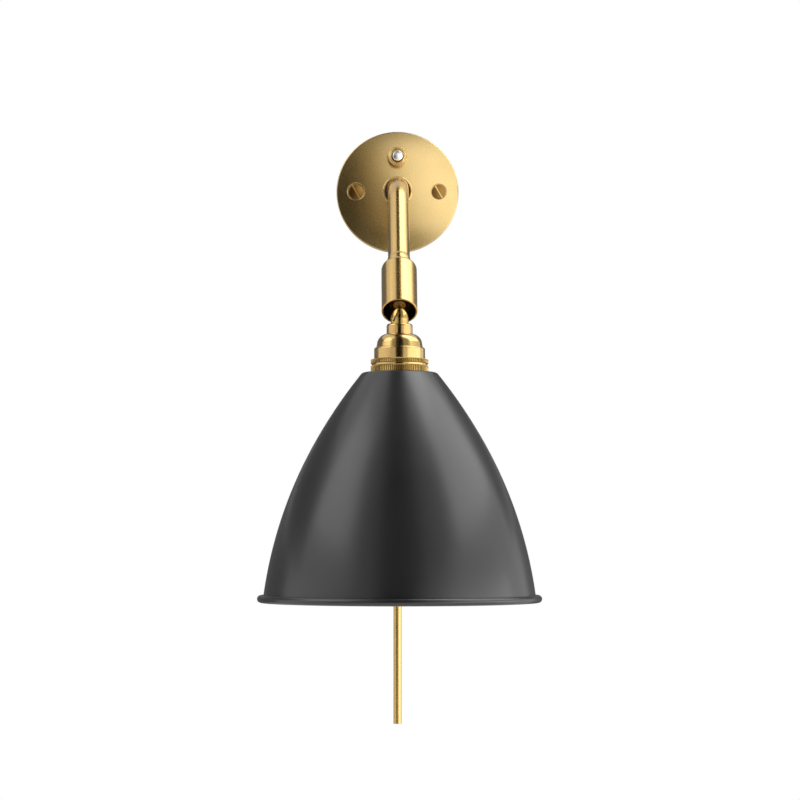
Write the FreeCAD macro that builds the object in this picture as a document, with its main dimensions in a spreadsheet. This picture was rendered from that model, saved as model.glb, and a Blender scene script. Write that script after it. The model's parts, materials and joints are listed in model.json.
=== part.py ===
import FreeCAD, Part
import math
import os
import Sketcher

# Wall lamp: a shallow domed wall plate with a push switch, a bent arm, a ball joint inside a
# sleeve, a small lampholder and a bell shade; a thin cable tube runs down the wall.
# +Z is up, +Y points into the wall, and the origin is the plate's centre on the wall plane.
# Every length is in millimetres and every angle in degrees.

V = FreeCAD.Vector

SIZES = [
    ("plate_diameter", 75.0, "outside of the wall plate"),
    ("plate_rim_height", 2.0, "straight edge of the plate above the wall"),
    ("plate_rise", 3.6, "how far the dome rises above that edge"),
    ("plate_sheet", 1.2, "thickness of the pressed sheet"),
    ("plate_edge_round", 0.6, "rounding of the plate's outer edge"),
    ("arm_hole_diameter", 16.0, "clear hole that the arm comes out of"),
    ("arm_hole_lip", 1.1, "width of the turned lip round that hole"),
    ("screw_spacing", 50.8, "centres of the two fixing screws"),
    ("screw_recess_diameter", 10.0, "recess that each screw head sits in"),
    ("screw_recess_wall", 1.1, "wall of that recess behind the sheet"),
    ("screw_recess_floor", 1.2, "thickness under the screw head"),
    ("screw_recess_round", 0.6, "rounded lip of the recess"),
    ("screw_head_diameter", 8.7, "slotted head"),
    ("screw_head_height", 1.5, "side of the head, up to its crown"),
    ("screw_head_crown", 0.6, "rise of the head's crown"),
    ("screw_slot_width", 1.1, "driving slot"),
    ("screw_slot_depth", 1.0, "depth of the slot below the crown"),
    ("screw_slot_angle", 60.0, "slot's angle from level"),
    ("screw_shank_diameter", 4.0, "threaded shank"),
    ("screw_neck_diameter", 3.2, "plain neck between the head and the thread"),
    ("screw_thread_start", 0.5, "first thread, in front of the wall plane"),
    ("screw_hole_diameter", 6.4, "clearance hole for the shank in the plate and the strap"),
    ("screw_shank_reach", 14.0, "shank behind the wall plane"),
    ("strap_thickness", 1.0, "steel strap behind the plate"),
    ("strap_width", 15.0, "strap's height on the wall"),
    ("strap_length", 62.0, "strap's length across the wall"),
    ("tongue_width", 9.0, "tongue that carries the cable tube"),
    ("tongue_reach", 15.5, "tongue below the plate's edge"),
    ("tongue_clearance", 0.25, "gap round the tongue in the plate's rim"),
    ("switch_height", 21.0, "switch above the plate's centre"),
    ("collar_diameter", 12.4, "foot of the switch's collar nut"),
    ("collar_lip_diameter", 11.2, "collar at its lip"),
    ("collar_height", 4.0, "collar above its seat"),
    ("collar_dish", 1.2, "depth of the dished centre"),
    ("collar_hole_diameter", 7.3, "hole round the plunger"),
    ("switch_neck_diameter", 9.6, "threaded neck of the switch"),
    ("switch_can_diameter", 13.0, "switch housing behind the wall"),
    ("switch_can_depth", 18.0, "housing behind the wall plane"),
    ("switch_tag_length", 5.0, "solder tags behind the housing"),
    ("plunger_diameter", 6.2, "push button"),
    ("plunger_clearance", 0.06, "running gap round the plunger"),
    ("plunger_reach", 2.5, "button above the collar's lip"),
    ("plunger_crown", 0.7, "rise of the button's tip"),
    ("plunger_travel", 2.0, "push stroke"),
    ("plunger_flange_diameter", 7.8, "flange that holds the button in"),
    ("arm_diameter", 12.7, "outside of the arm tube"),
    ("arm_wall", 1.0, "wall of the arm tube"),
    ("arm_root_run", 14.0, "level run from the wall to the bend"),
    ("arm_bend_radius", 28.0, "bend radius on the tube's centre line"),
    ("arm_bend_turn", 52.5, "how far the arm turns down"),
    ("arm_straight_run", 94.6, "from the end of the bend to the ball's centre"),
    ("arm_end_gap", 24.0, "from the tube's end to the ball's centre"),
    ("root_thread_diameter", 9.5, "threaded root tube"),
    ("root_thread_bore", 7.0, "cable way through the root"),
    ("root_thread_reach", 8.0, "root tube behind the wall plane"),
    ("root_nut_across_flats", 14.0, "lock nut behind the strap"),
    ("root_nut_thickness", 3.6, "lock nut"),
    ("root_washer_diameter", 17.0, "washer under the lock nut"),
    ("root_washer_thickness", 1.0, "washer under the lock nut"),
    ("bead_diameter", 13.9, "rounded collar above the sleeve"),
    ("bead_length", 6.2, "collar's length along the arm"),
    ("bead_foot_diameter", 13.1, "collar where it meets the sleeve"),
    ("sleeve_diameter", 20.5, "joint sleeve"),
    ("sleeve_wall", 0.9, "wall of the sleeve"),
    ("sleeve_length", 36.5, "sleeve along the arm"),
    ("sleeve_shoulder_round", 3.7, "rounding of the sleeve's shoulder"),
    ("sleeve_shoulder_depth", 4.5, "solid shoulder round the tube"),
    ("sleeve_mouth_gap", 2.6, "from the sleeve's mouth to the ball's centre"),
    ("sleeve_mouth_round", 0.4, "rounding of the mouth's edge"),
    ("ball_diameter", 6.4, "ball at the end of the stud"),
    ("stem_diameter", 3.0, "stem between stud and ball"),
    ("stud_diameter", 7.0, "stud inside the sleeve"),
    ("stud_face_gap", 7.1, "from the stud's flat end to the ball's centre"),
    ("stud_edge_round", 0.5, "rounding of that end"),
    ("plug_lip", 1.6, "plug's lip on the tube's end"),
    ("plug_length", 12.0, "plug inside the tube"),
    ("socket_diameter", 10.1, "foot of the domed socket"),
    ("socket_top_diameter", 7.2, "top of the domed socket"),
    ("socket_rise", 3.5, "socket above the ball's centre"),
    ("socket_foot_height", 2.0, "straight foot of the socket"),
    ("socket_dome_radius", 13.0, "curve of the socket's side"),
    ("socket_mouth_diameter", 4.6, "round mouth over the ball"),
    ("ball_clearance", 0.05, "gap between ball and socket"),
    ("swing_slot_width", 3.5, "slot that the stem swings into"),
    ("swing_slot_floor", 0.9, "slot's lower end above the ball's centre"),
    ("spring_slit_width", 0.9, "slanted slit that lets the socket grip"),
    ("spring_slit_lean", 25.0, "slit's angle from upright"),
    ("neck_drop", 5.2, "top of the neck ring below the ball's centre"),
    ("neck_diameter", 14.8, "neck ring"),
    ("neck_height", 5.8, "neck ring"),
    ("neck_round", 1.3, "rounding of the neck ring's top"),
    ("nipple_diameter", 8.0, "threaded nipple inside the neck"),
    ("nipple_bore", 4.4, "cable way through the nipple"),
    ("nipple_rise", 1.6, "nipple inside the socket"),
    ("nipple_length", 13.0, "threaded nipple"),
    ("cap_land_diameter", 15.2, "flat top of the domed cap"),
    ("cap_shoulder_diameter", 25.6, "cap where its dome turns upright"),
    ("cap_shoulder_drop", 4.9, "dome's height"),
    ("cap_dome_radius", 6.4, "curve of the dome"),
    ("cap_diameter", 26.5, "cap at its lower edge"),
    ("cap_height", 7.8, "domed cap"),
    ("cap_wall", 1.1, "wall of the cap"),
    ("skirt_diameter", 28.9, "lampholder's body"),
    ("skirt_visible", 6.7, "plain part of the body"),
    ("skirt_round", 1.0, "rounding of the body's top"),
    ("skirt_wall", 1.2, "wall of the body"),
    ("thread_diameter", 27.8, "outside thread of the body, across its crests"),
    ("skirt_length", 27.0, "whole body"),
    ("ring_diameter", 32.8, "knurled shade rings"),
    ("upper_ring_height", 2.6, "upper ring"),
    ("lower_ring_height", 5.0, "lower ring with its plain band"),
    ("ring_band_height", 1.0, "plain band between the knurls"),
    ("ring_band_diameter", 31.6, "plain band between the knurls"),
    ("knurl_depth", 0.35, "depth of the knurl"),
    ("knurl_count", 90.0, "teeth round each ring"),
    ("inner_ring_diameter", 34.0, "ring under the shade's top"),
    ("inner_ring_height", 4.0, "ring under the shade's top"),
    ("shade_hole_clearance", 0.15, "gap between shade and thread"),
    ("shade_top_radius", 20.15, "flat top of the shade"),
    ("shade_corner_radius", 2.3, "corner of the flat top"),
    ("shade_corner_width", 1.8, "corner of the flat top"),
    ("shade_corner_drop", 0.85, "corner of the flat top"),
    ("shade_waist_radius", 47.9, "shade where its two curves meet"),
    ("shade_waist_drop", 39.5, "that level below the shade's top"),
    ("crown_curve_radius", 281.0, "upper curve of the side"),
    ("skirt_curve_radius", 243.0, "lower curve of the side"),
    ("shade_sheet", 1.0, "thickness of the spun sheet"),
    ("shade_drop", 127.5, "centre of the rolled rim below the shade's top"),
    ("rim_radius", 78.0, "centre of the rolled rim"),
    ("rim_bead_radius", 2.1, "rolled rim"),
    ("holder_bore", 16.6, "inside of the insulating body"),
    ("holder_floor", 3.0, "floor of the insulating body"),
    ("holder_length", 23.5, "insulating body"),
    ("shell_bore", 12.6, "inside of the lamp thread's crests"),
    ("shell_depth", 0.7, "depth of the lamp thread in the shell's wall"),
    ("shell_sheet", 0.4, "sheet of the shell and its flange"),
    ("shell_length", 13.0, "shell that takes the lamp"),
    ("shell_inset", 1.5, "shell's flange above the lampholder's foot"),
    ("contact_diameter", 4.6, "centre contact"),
    ("contact_height", 2.4, "centre contact"),
    ("tube_diameter", 4.8, "cable tube on the wall"),
    ("tube_wall", 0.5, "wall of the cable tube"),
    ("tube_length", 284.0, "visible length of the cable tube below its socket's top"),
    ("tube_socket_gap", 2.5, "from the plate's edge to the socket"),
    ("tube_socket_diameter", 6.6, "socket that holds the cable tube"),
    ("tube_socket_length", 12.0, "socket that holds the cable tube"),
    ("tube_socket_floor", 2.0, "closed top of that socket"),
    ("earth_screw_diameter", 6.0, "earth screw on the strap"),
]

doc = FreeCAD.newDocument("wall_lamp")
sheet = doc.addObject("Spreadsheet::Sheet", "sizes")
for row, (alias, number, meaning) in enumerate(SIZES, start=1):
    sheet.set("A%d" % row, meaning)
    sheet.set("B%d" % row, str(number))
    sheet.setAlias("B%d" % row, alias)
doc.recompute()

# The ball's centre, where the lampholder tips, follows from the arm's level run, its bend and
# its straight run.
TURN = "(sizes.arm_bend_turn * 1 deg)"
PIVOT_Y = ("-(sizes.arm_root_run + sizes.arm_bend_radius * sin%s"
           " + sizes.arm_straight_run * cos%s)" % (TURN, TURN))
PIVOT_Z = ("-(sizes.arm_bend_radius * (1 - cos%s) + sizes.arm_straight_run * sin%s)"
           % (TURN, TURN))
# Levels of the lampholder's pieces, measured up from the ball's centre.
NECK_TOP = "(-sizes.neck_drop)"
CAP_TOP = "(-sizes.neck_drop - sizes.neck_height)"
SKIRT_TOP = "(-sizes.neck_drop - sizes.neck_height - sizes.cap_height)"
RING_TOP = "(%s - sizes.skirt_visible)" % SKIRT_TOP
LOWER_RING_TOP = "(%s - sizes.upper_ring_height)" % RING_TOP
SHADE_TOP = "(%s - sizes.lower_ring_height)" % LOWER_RING_TOP
SHADE_UNDER = "(%s - sizes.shade_sheet)" % SHADE_TOP
SKIRT_FOOT = "(%s - sizes.skirt_length)" % SKIRT_TOP
HOLDER_TOP = "(%s + sizes.holder_length)" % SKIRT_FOOT
# Heights above the wall plane on the plate.
DOME_RADIUS = ("((sizes.plate_diameter * sizes.plate_diameter / 4"
               " + sizes.plate_rise * sizes.plate_rise) / (2 * sizes.plate_rise))")
SEAT = "(sizes.plate_rim_height + 0.88 * sizes.plate_rise)"
COLLAR_LIP = "(%s + sizes.collar_height)" % SEAT
PLUNGER_TIP = "(%s + sizes.plunger_reach)" % COLLAR_LIP
CAN_TOP = "(sizes.plate_rim_height - 0.4)"
NECK_END = "(%s + 1.9)" % SEAT
CHAMBER_TOP = "(%s - 0.1)" % CAN_TOP
FLANGE_THICKNESS = 1.2
STOP_GAP = 0.1
CHAMBER_FLOOR = ("(%s - %s - %s - sizes.plunger_travel - 0.3)"
                 % (CHAMBER_TOP, STOP_GAP, FLANGE_THICKNESS))
EARTH_ACROSS = "(0.27 * sizes.screw_spacing)"
# Along the arm, measured down from the ball's centre.
SLEEVE_TOP = "(-(sizes.sleeve_mouth_gap + sizes.sleeve_length))"
# The cable tube's axis and the top of its socket.
SOCKET_FLAT = 0.3
TUBE_Y = "-(sizes.strap_thickness + sizes.tube_socket_diameter / 2 - %s)" % SOCKET_FLAT
TUBE_SOCKET_TOP = "(-sizes.plate_diameter / 2 - sizes.tube_socket_gap)"
TUBE_FOOT = "(%s - sizes.tube_length)" % TUBE_SOCKET_TOP
TONGUE_END = "(-sizes.plate_diameter / 2 - sizes.tongue_reach)"

made = []


def value(expression):
    """Reads an expression of the sheet's sizes as a plain number."""
    result = sheet.evalExpression(str(expression))
    return float(getattr(result, "Value", result))


def new_body(label):
    body = doc.addObject("PartDesign::Body", label)
    body.Label = label
    made.append(body)
    return body


def origin_plane(body, role):
    return [f for f in body.Origin.OriginFeatures if f.Role == role][0]


def new_sketch(body, name, role, lift=None):
    """Adds a sketch on one of the body's own planes, moved along its normal if asked."""
    sketch = body.newObject("Sketcher::SketchObject", name)
    sketch.AttachmentSupport = [(origin_plane(body, role), "")]
    sketch.MapMode = "FlatFace"
    if lift is not None:
        sketch.setExpression("AttachmentOffset.Base.z", lift)
    return sketch


def line(across, along):
    return (across, along, None, None)


def arc(across, along, radius, turn):
    """An arc to a point; turn is 1 for anticlockwise and -1 for clockwise."""
    return (across, along, radius, turn)


def pin_point(sketch, edge, corner, across, along, tag):
    """Fixes one corner of the sketch to two expressions of the sheet."""
    x = sketch.addConstraint(
        Sketcher.Constraint("DistanceX", -1, 1, edge, corner, value(across)))
    sketch.renameConstraint(x, "across_%s" % tag)
    sketch.setExpression("Constraints.across_%s" % tag, across)
    y = sketch.addConstraint(
        Sketcher.Constraint("DistanceY", -1, 1, edge, corner, value(along)))
    sketch.renameConstraint(y, "along_%s" % tag)
    sketch.setExpression("Constraints.along_%s" % tag, along)


def arc_curve(start, end, radius, turn):
    """The circle arc between two points with its centre on the side that it turns to."""
    chord = end - start
    middle = (start + end) * 0.5
    side = V(-chord.y, chord.x, 0) * (turn / chord.Length)
    height = math.sqrt(max(radius ** 2 - (chord.Length / 2) ** 2, 0.0))
    centre = middle + side * height
    first, last = (start, end) if turn > 0 else (end, start)
    begin = math.atan2(first.y - centre.y, first.x - centre.x)
    finish = math.atan2(last.y - centre.y, last.x - centre.x)
    return Part.ArcOfCircle(Part.Circle(centre, V(0, 0, 1), radius), begin, finish)


def draw_outline(sketch, steps, tag="p"):
    """Draws one closed outline. Each step is the corner that an edge ends at."""
    corners = [V(value(s[0]), value(s[1]), 0) for s in steps]
    ends = []
    for number, (across, along, radius, turn) in enumerate(steps):
        start, end = corners[number - 1], corners[number]
        if radius is None:
            edge = sketch.addGeometry(Part.LineSegment(start, end))
            ends.append((edge, 1, 2))
        else:
            edge = sketch.addGeometry(arc_curve(start, end, value(radius), turn))
            ends.append((edge, 1, 2) if turn > 0 else (edge, 2, 1))
    for number, (edge, first, last) in enumerate(ends):
        following = ends[(number + 1) % len(ends)]
        sketch.addConstraint(
            Sketcher.Constraint("Coincident", edge, last, following[0], following[1]))
        across, along, radius, turn = steps[number]
        name = "%s%d" % (tag, number)
        pin_point(sketch, edge, last, across, along, name)
        if radius is not None:
            size = sketch.addConstraint(Sketcher.Constraint("Radius", edge, value(radius)))
            sketch.renameConstraint(size, "radius_%s" % name)
            sketch.setExpression("Constraints.radius_%s" % name, radius)


def draw_circle(sketch, across, along, diameter, tag):
    circle = sketch.addGeometry(
        Part.Circle(V(value(across), value(along), 0), V(0, 0, 1), value(diameter) / 2))
    pin_point(sketch, circle, 3, across, along, tag)
    size = sketch.addConstraint(Sketcher.Constraint("Diameter", circle, value(diameter)))
    sketch.renameConstraint(size, "diameter_%s" % tag)
    sketch.setExpression("Constraints.diameter_%s" % tag, diameter)


def turn_outline(body, name, steps):
    """Turns an outline drawn as (radius, height) about the body's own Z axis."""
    sketch = new_sketch(body, name + "_outline", "XZ_Plane")
    draw_outline(sketch, steps)
    turning = body.newObject("PartDesign::Revolution", name + "_turning")
    turning.Profile = (sketch, [""])
    turning.ReferenceAxis = (sketch, ["V_Axis"])
    turning.Angle = 360
    return turning


def pad(body, name, sketch, length, reverse=False):
    feature = body.newObject("PartDesign::Pad", name)
    feature.Profile = (sketch, [""])
    feature.Length = value(length)
    feature.setExpression("Length", length)
    feature.Reversed = reverse
    return feature


def pocket(body, name, sketch, length, reverse=False):
    """Cuts a pocket and checks that it took something away."""
    doc.recompute()
    before = body.Shape.Volume
    feature = body.newObject("PartDesign::Pocket", name)
    feature.Profile = (sketch, [""])
    feature.Length = value(length)
    feature.setExpression("Length", length)
    feature.Reversed = reverse
    doc.recompute()
    if body.Shape.Volume >= before:
        raise ValueError("%s cut nothing" % name)
    return feature


def round_edges(body, name, radius, keep):
    """Rounds the edges of the body that keep() picks."""
    doc.recompute()
    picked = ["Edge%d" % n for n, e in enumerate(body.Tip.Shape.Edges, start=1) if keep(e)]
    if not picked:
        raise ValueError("%s found no edge" % name)
    carrier = body.Tip
    feature = body.newObject("PartDesign::Fillet", name)
    feature.Base = (carrier, picked)
    feature.Radius = value(radius)
    feature.setExpression("Radius", radius)
    return feature


def place(body, across, out, up, tip):
    """Puts a body in the lamp: its position and its turn about the X axis."""
    body.Placement = FreeCAD.Placement(V(0, 0, 0), FreeCAD.Rotation(V(1, 0, 0), 1))
    body.setExpression("Placement.Base.x", str(across))
    body.setExpression("Placement.Base.y", str(out))
    body.setExpression("Placement.Base.z", str(up))
    body.setExpression("Placement.Rotation.Angle", str(tip))


def face_from_wall(body, across="0", up="0"):
    """Turns the body's own Z axis to point straight out from the wall."""
    place(body, across, "0", up, "90")


def along_arm(body):
    """Puts the body's origin on the ball's centre with its Z axis pointing down the arm."""
    place(body, "0", PIVOT_Y, PIVOT_Z, "90 + sizes.arm_bend_turn")


def under_ball(body):
    """Puts the body's origin on the ball's centre, upright."""
    place(body, "0", PIVOT_Y, PIVOT_Z, "0")


def dome_at(radius, sheet_depth="0"):
    """Height of the plate's dome above the wall at a radius, or of its inside."""
    return ("(sizes.plate_rim_height + sizes.plate_rise - %s"
            " + sqrt(pow(%s - %s; 2) - pow(%s; 2)))"
            % (DOME_RADIUS, DOME_RADIUS, sheet_depth, radius))


def draw_bar(sketch, centre, length, width, angle, tag="bar"):
    """Draws a straight bar through a centre, turned by an angle from the sketch's X axis."""
    along = "cos(%s * 1 deg)" % angle
    rise = "sin(%s * 1 deg)" % angle
    length = "(%s)" % length
    width = "(%s)" % width
    corners = []
    for end, side in ((-1, -1), (1, -1), (1, 1), (-1, 1)):
        x = "%s + %d * %s / 2 * %s - %d * %s / 2 * %s" % (
            centre[0], end, length, along, side, width, rise)
        y = "%s + %d * %s / 2 * %s + %d * %s / 2 * %s" % (
            centre[1], end, length, rise, side, width, along)
        corners.append(line(x, y))
    draw_outline(sketch, corners, tag)


def make_wall_plate():
    """A pressed dome with a turned lip round the arm, two screw recesses and a switch seat."""
    body = new_body("wall_plate")
    rim = "(sizes.plate_diameter / 2)"
    edge = "sizes.plate_edge_round"
    hole = "(sizes.arm_hole_diameter / 2)"
    lip = "(sizes.arm_hole_diameter / 2 + sizes.arm_hole_lip)"
    sheet_depth = "sizes.plate_sheet"
    inside = "(sizes.plate_diameter / 2 - sizes.plate_sheet)"
    turn_outline(body, "plate", [
        line(hole, dome_at(lip)),
        arc(lip, dome_at(lip), "0.6 * sizes.arm_hole_lip", -1),
        arc("%s - %s" % (rim, edge), dome_at("(%s - %s)" % (rim, edge)), DOME_RADIUS, -1),
        arc(rim, "sizes.plate_rim_height - %s" % edge, "1.2 * %s" % edge, -1),
        line(rim, "0"),
        line(inside, "0"),
        line(inside, dome_at(inside, sheet_depth)),
        arc(hole, dome_at(hole, sheet_depth), "%s - %s" % (DOME_RADIUS, sheet_depth), 1),
    ])
    cups = new_sketch(body, "recess_cups", "XY_Plane", "sizes.strap_thickness")
    wall = "sizes.screw_recess_diameter + 2 * sizes.screw_recess_wall"
    draw_circle(cups, "sizes.screw_spacing / 2", "0", wall, "right")
    draw_circle(cups, "-sizes.screw_spacing / 2", "0", wall, "left")
    pad(body, "recess_cup_pads", cups, "sizes.plate_rim_height + sizes.plate_rise")
    above = new_sketch(body, "above_dome", "XZ_Plane")
    near = "(sizes.arm_hole_diameter / 2 + sizes.arm_hole_lip + 1)"
    high = "sizes.plate_rim_height + sizes.plate_rise + 4"
    draw_outline(above, [
        line(near, dome_at(near)),
        arc("(%s - %s)" % (rim, edge), dome_at("(%s - %s)" % (rim, edge)), DOME_RADIUS, -1),
        line("(%s - %s)" % (rim, edge), high),
        line(near, high),
    ])
    trim = body.newObject("PartDesign::Groove", "dome_trim")
    trim.Profile = (above, [""])
    trim.ReferenceAxis = (above, ["V_Axis"])
    trim.Angle = 360
    recess = new_sketch(body, "screw_recesses", "XY_Plane",
                        "sizes.strap_thickness + sizes.screw_recess_floor")
    draw_circle(recess, "sizes.screw_spacing / 2", "0", "sizes.screw_recess_diameter", "right")
    draw_circle(recess, "-sizes.screw_spacing / 2", "0", "sizes.screw_recess_diameter", "left")
    pocket(body, "screw_recess_cuts", recess, "sizes.plate_rise + sizes.plate_rim_height", True)
    spread = value("sizes.screw_spacing / 2")
    reach = value("sizes.screw_recess_diameter")
    floor = value("sizes.strap_thickness + sizes.screw_recess_floor")

    def recess_mouth(edge):
        box = edge.BoundBox
        return (abs(abs(box.Center.x) - spread) < 0.5 and abs(box.YLength - reach) < 0.5
                and box.ZMin > floor + 0.3)

    round_edges(body, "recess_lips", "sizes.screw_recess_round", recess_mouth)
    holes = new_sketch(body, "screw_holes", "XY_Plane")
    draw_circle(holes, "sizes.screw_spacing / 2", "0", "sizes.screw_hole_diameter", "right")
    draw_circle(holes, "-sizes.screw_spacing / 2", "0", "sizes.screw_hole_diameter", "left")
    pocket(body, "screw_hole_cuts", holes, "sizes.plate_rim_height + sizes.plate_rise", True)
    seat = new_sketch(body, "switch_seat", "XY_Plane", CAN_TOP)
    draw_circle(seat, "0", "sizes.switch_height", "sizes.collar_diameter", "seat")
    pad(body, "switch_seat_pad", seat, "%s - %s" % (SEAT, CAN_TOP))
    neck = new_sketch(body, "switch_hole", "XY_Plane")
    draw_circle(neck, "0", "sizes.switch_height", "sizes.switch_neck_diameter + 0.1", "neck")
    pocket(body, "switch_hole_cut", neck, "sizes.plate_rim_height + sizes.plate_rise", True)
    notch = new_sketch(body, "tongue_notch", "XY_Plane")
    draw_bar(notch, ("0", "-%s" % rim), "sizes.tongue_width + 2 * sizes.tongue_clearance",
             "6", "0")
    pocket(body, "tongue_notch_cut", notch, "sizes.strap_thickness + sizes.tongue_clearance",
           True)
    face_from_wall(body)


def make_plate_screw(label, side):
    """A slotted screw with a crowned head in the plate's recess."""
    body = new_body(label)
    shank = "sizes.screw_shank_diameter / 2"
    neck = "sizes.screw_neck_diameter / 2"
    head = "sizes.screw_head_diameter / 2"
    under = "(sizes.strap_thickness + sizes.screw_recess_floor)"
    crown = "(%s + sizes.screw_head_height + sizes.screw_head_crown)" % under
    turn_outline(body, label, [
        line("0", "-sizes.screw_shank_reach"),
        line("0.7 * %s" % shank, "-sizes.screw_shank_reach"),
        line(shank, "-sizes.screw_shank_reach + 0.8"),
        line(shank, "sizes.screw_thread_start"),
        line(neck, "sizes.screw_thread_start"),
        line(neck, under),
        line(head, under),
        line(head, "%s + sizes.screw_head_height" % under),
        arc("0", crown, "(pow(%s; 2) + pow(sizes.screw_head_crown; 2))"
            " / (2 * sizes.screw_head_crown)" % head, 1),
    ])
    slot = new_sketch(body, label + "_slot", "XY_Plane", crown)
    draw_bar(slot, ("0", "0"), "sizes.screw_head_diameter + 1", "sizes.screw_slot_width",
             "(180 - sizes.screw_slot_angle)")
    pocket(body, label + "_slot_cut", slot, "sizes.screw_slot_depth")
    face_from_wall(body, "%d * sizes.screw_spacing / 2" % side)


def make_mounting_strap():
    """The steel strap behind the plate, with a tongue down to the cable tube."""
    body = new_body("mounting_strap")
    sketch = new_sketch(body, "strap_outline", "XY_Plane")
    half = "sizes.strap_length / 2"
    high = "sizes.strap_width / 2"
    tongue = "sizes.tongue_width / 2"
    draw_outline(sketch, [
        line("-%s" % half, "-%s" % high),
        line("-%s" % tongue, "-%s" % high),
        line("-%s" % tongue, TONGUE_END),
        line(tongue, TONGUE_END),
        line(tongue, "-%s" % high),
        line(half, "-%s" % high),
        line(half, high),
        line("-%s" % half, high),
    ])
    draw_circle(sketch, "sizes.screw_spacing / 2", "0", "sizes.screw_hole_diameter", "right")
    draw_circle(sketch, "-sizes.screw_spacing / 2", "0", "sizes.screw_hole_diameter", "left")
    draw_circle(sketch, "0", "0", "sizes.root_thread_diameter + 0.1", "root")
    draw_circle(sketch, EARTH_ACROSS, "0", "sizes.earth_screw_diameter / 2 + 0.1", "earth")
    pad(body, "strap_sheet", sketch, "sizes.strap_thickness")
    face_from_wall(body)


def make_earth_screw():
    body = new_body("earth_screw")
    shank = "sizes.earth_screw_diameter / 4"
    head = "sizes.earth_screw_diameter / 2"
    top = "(sizes.strap_thickness + 1.6)"
    turn_outline(body, "earth_screw", [
        line("0", "-4"),
        line(shank, "-4"),
        line(shank, "sizes.strap_thickness"),
        line(head, "sizes.strap_thickness"),
        line(head, "%s - 0.4" % top),
        line("%s - 0.4" % head, top),
        line("0", top),
    ])
    slot = new_sketch(body, "earth_slot", "XY_Plane", top)
    draw_bar(slot, ("0", "0"), "sizes.earth_screw_diameter + 1", "0.9", "20")
    pocket(body, "earth_slot_cut", slot, "0.8")
    face_from_wall(body, EARTH_ACROSS)


def make_switch_collar():
    """The turned nut on the plate: a tapered side, a rounded lip and a dished centre."""
    body = new_body("switch_collar")
    foot = "sizes.collar_diameter / 2"
    lip = "sizes.collar_lip_diameter / 2"
    thread = "sizes.switch_neck_diameter / 2 + 0.05"
    hole = "sizes.collar_hole_diameter / 2"
    turn_outline(body, "collar", [
        line(thread, SEAT),
        line(foot, SEAT),
        line(foot, "%s + 0.6" % SEAT),
        line("%s + 0.25" % lip, "%s - 0.4" % COLLAR_LIP),
        arc("%s - 0.35" % lip, "%s - 0.25" % COLLAR_LIP, "0.36", 1),
        arc(hole, "%s - sizes.collar_dish" % COLLAR_LIP, "5", -1),
        line(hole, NECK_END),
        line(thread, NECK_END),
    ])
    face_from_wall(body, "0", "sizes.switch_height")


def make_switch_body():
    """The switch behind the plate: housing, threaded neck, guide bore and solder tags."""
    body = new_body("switch_body")
    can = "sizes.switch_can_diameter / 2"
    neck = "sizes.switch_neck_diameter / 2"
    guide = "(sizes.plunger_diameter / 2 + sizes.plunger_clearance)"
    chamber = "(sizes.plunger_flange_diameter / 2 + 0.1)"
    turn_outline(body, "switch", [
        line("0", "-sizes.switch_can_depth"),
        line(can, "-sizes.switch_can_depth"),
        line(can, CAN_TOP),
        line(neck, CAN_TOP),
        line(neck, NECK_END),
        line(guide, NECK_END),
        line(guide, CHAMBER_TOP),
        line(chamber, CHAMBER_TOP),
        line(chamber, CHAMBER_FLOOR),
        line("0", CHAMBER_FLOOR),
    ])
    tags = new_sketch(body, "switch_tags", "XY_Plane", "-sizes.switch_can_depth")
    draw_bar(tags, ("3.2", "0"), "0.8", "3", "0", "right")
    draw_bar(tags, ("-3.2", "0"), "0.8", "3", "0", "left")
    pad(body, "switch_tag_pads", tags, "sizes.switch_tag_length", True)
    face_from_wall(body, "0", "sizes.switch_height")


def make_switch_plunger():
    """The push button, held in by its flange, with a crowned tip."""
    body = new_body("switch_plunger")
    stem = "sizes.plunger_diameter / 2"
    flange = "sizes.plunger_flange_diameter / 2"
    flange_top = "(%s - %s)" % (CHAMBER_TOP, STOP_GAP)
    turn_outline(body, "plunger", [
        line("0", "%s - %s" % (flange_top, FLANGE_THICKNESS)),
        line(flange, "%s - %s" % (flange_top, FLANGE_THICKNESS)),
        line(flange, flange_top),
        line(stem, flange_top),
        line(stem, "%s - sizes.plunger_crown" % PLUNGER_TIP),
        arc("0", PLUNGER_TIP, "(pow(%s; 2) + pow(sizes.plunger_crown; 2))"
            " / (2 * sizes.plunger_crown)" % stem, 1),
    ])
    face_from_wall(body, "0", "sizes.switch_height")


def make_arm_tube():
    """The arm: a level root, one bend and a straight run down to the ball joint."""
    body = new_body("arm_tube")
    route = new_sketch(body, "arm_route", "YZ_Plane")
    bend_y = "-(sizes.arm_root_run + sizes.arm_bend_radius * sin%s)" % TURN
    bend_z = "-(sizes.arm_bend_radius * (1 - cos%s))" % TURN
    run = "(sizes.arm_straight_run - sizes.arm_end_gap)"
    stops = [
        line("-sizes.strap_thickness", "0"),
        line("-sizes.arm_root_run", "0"),
        arc(bend_y, bend_z, "sizes.arm_bend_radius", 1),
        line("%s - %s * cos%s" % (bend_y, run, TURN), "%s - %s * sin%s" % (bend_z, run, TURN)),
    ]
    draw_route(route, stops)
    section = new_sketch(body, "arm_section", "XZ_Plane", "sizes.strap_thickness")
    draw_circle(section, "0", "0", "sizes.arm_diameter", "outside")
    draw_circle(section, "0", "0", "sizes.arm_diameter - 2 * sizes.arm_wall", "inside")
    sweep = body.newObject("PartDesign::AdditivePipe", "arm_sweep")
    sweep.Profile = (section, [""])
    sweep.Spine = (route, ["Edge1", "Edge2", "Edge3"])


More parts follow.
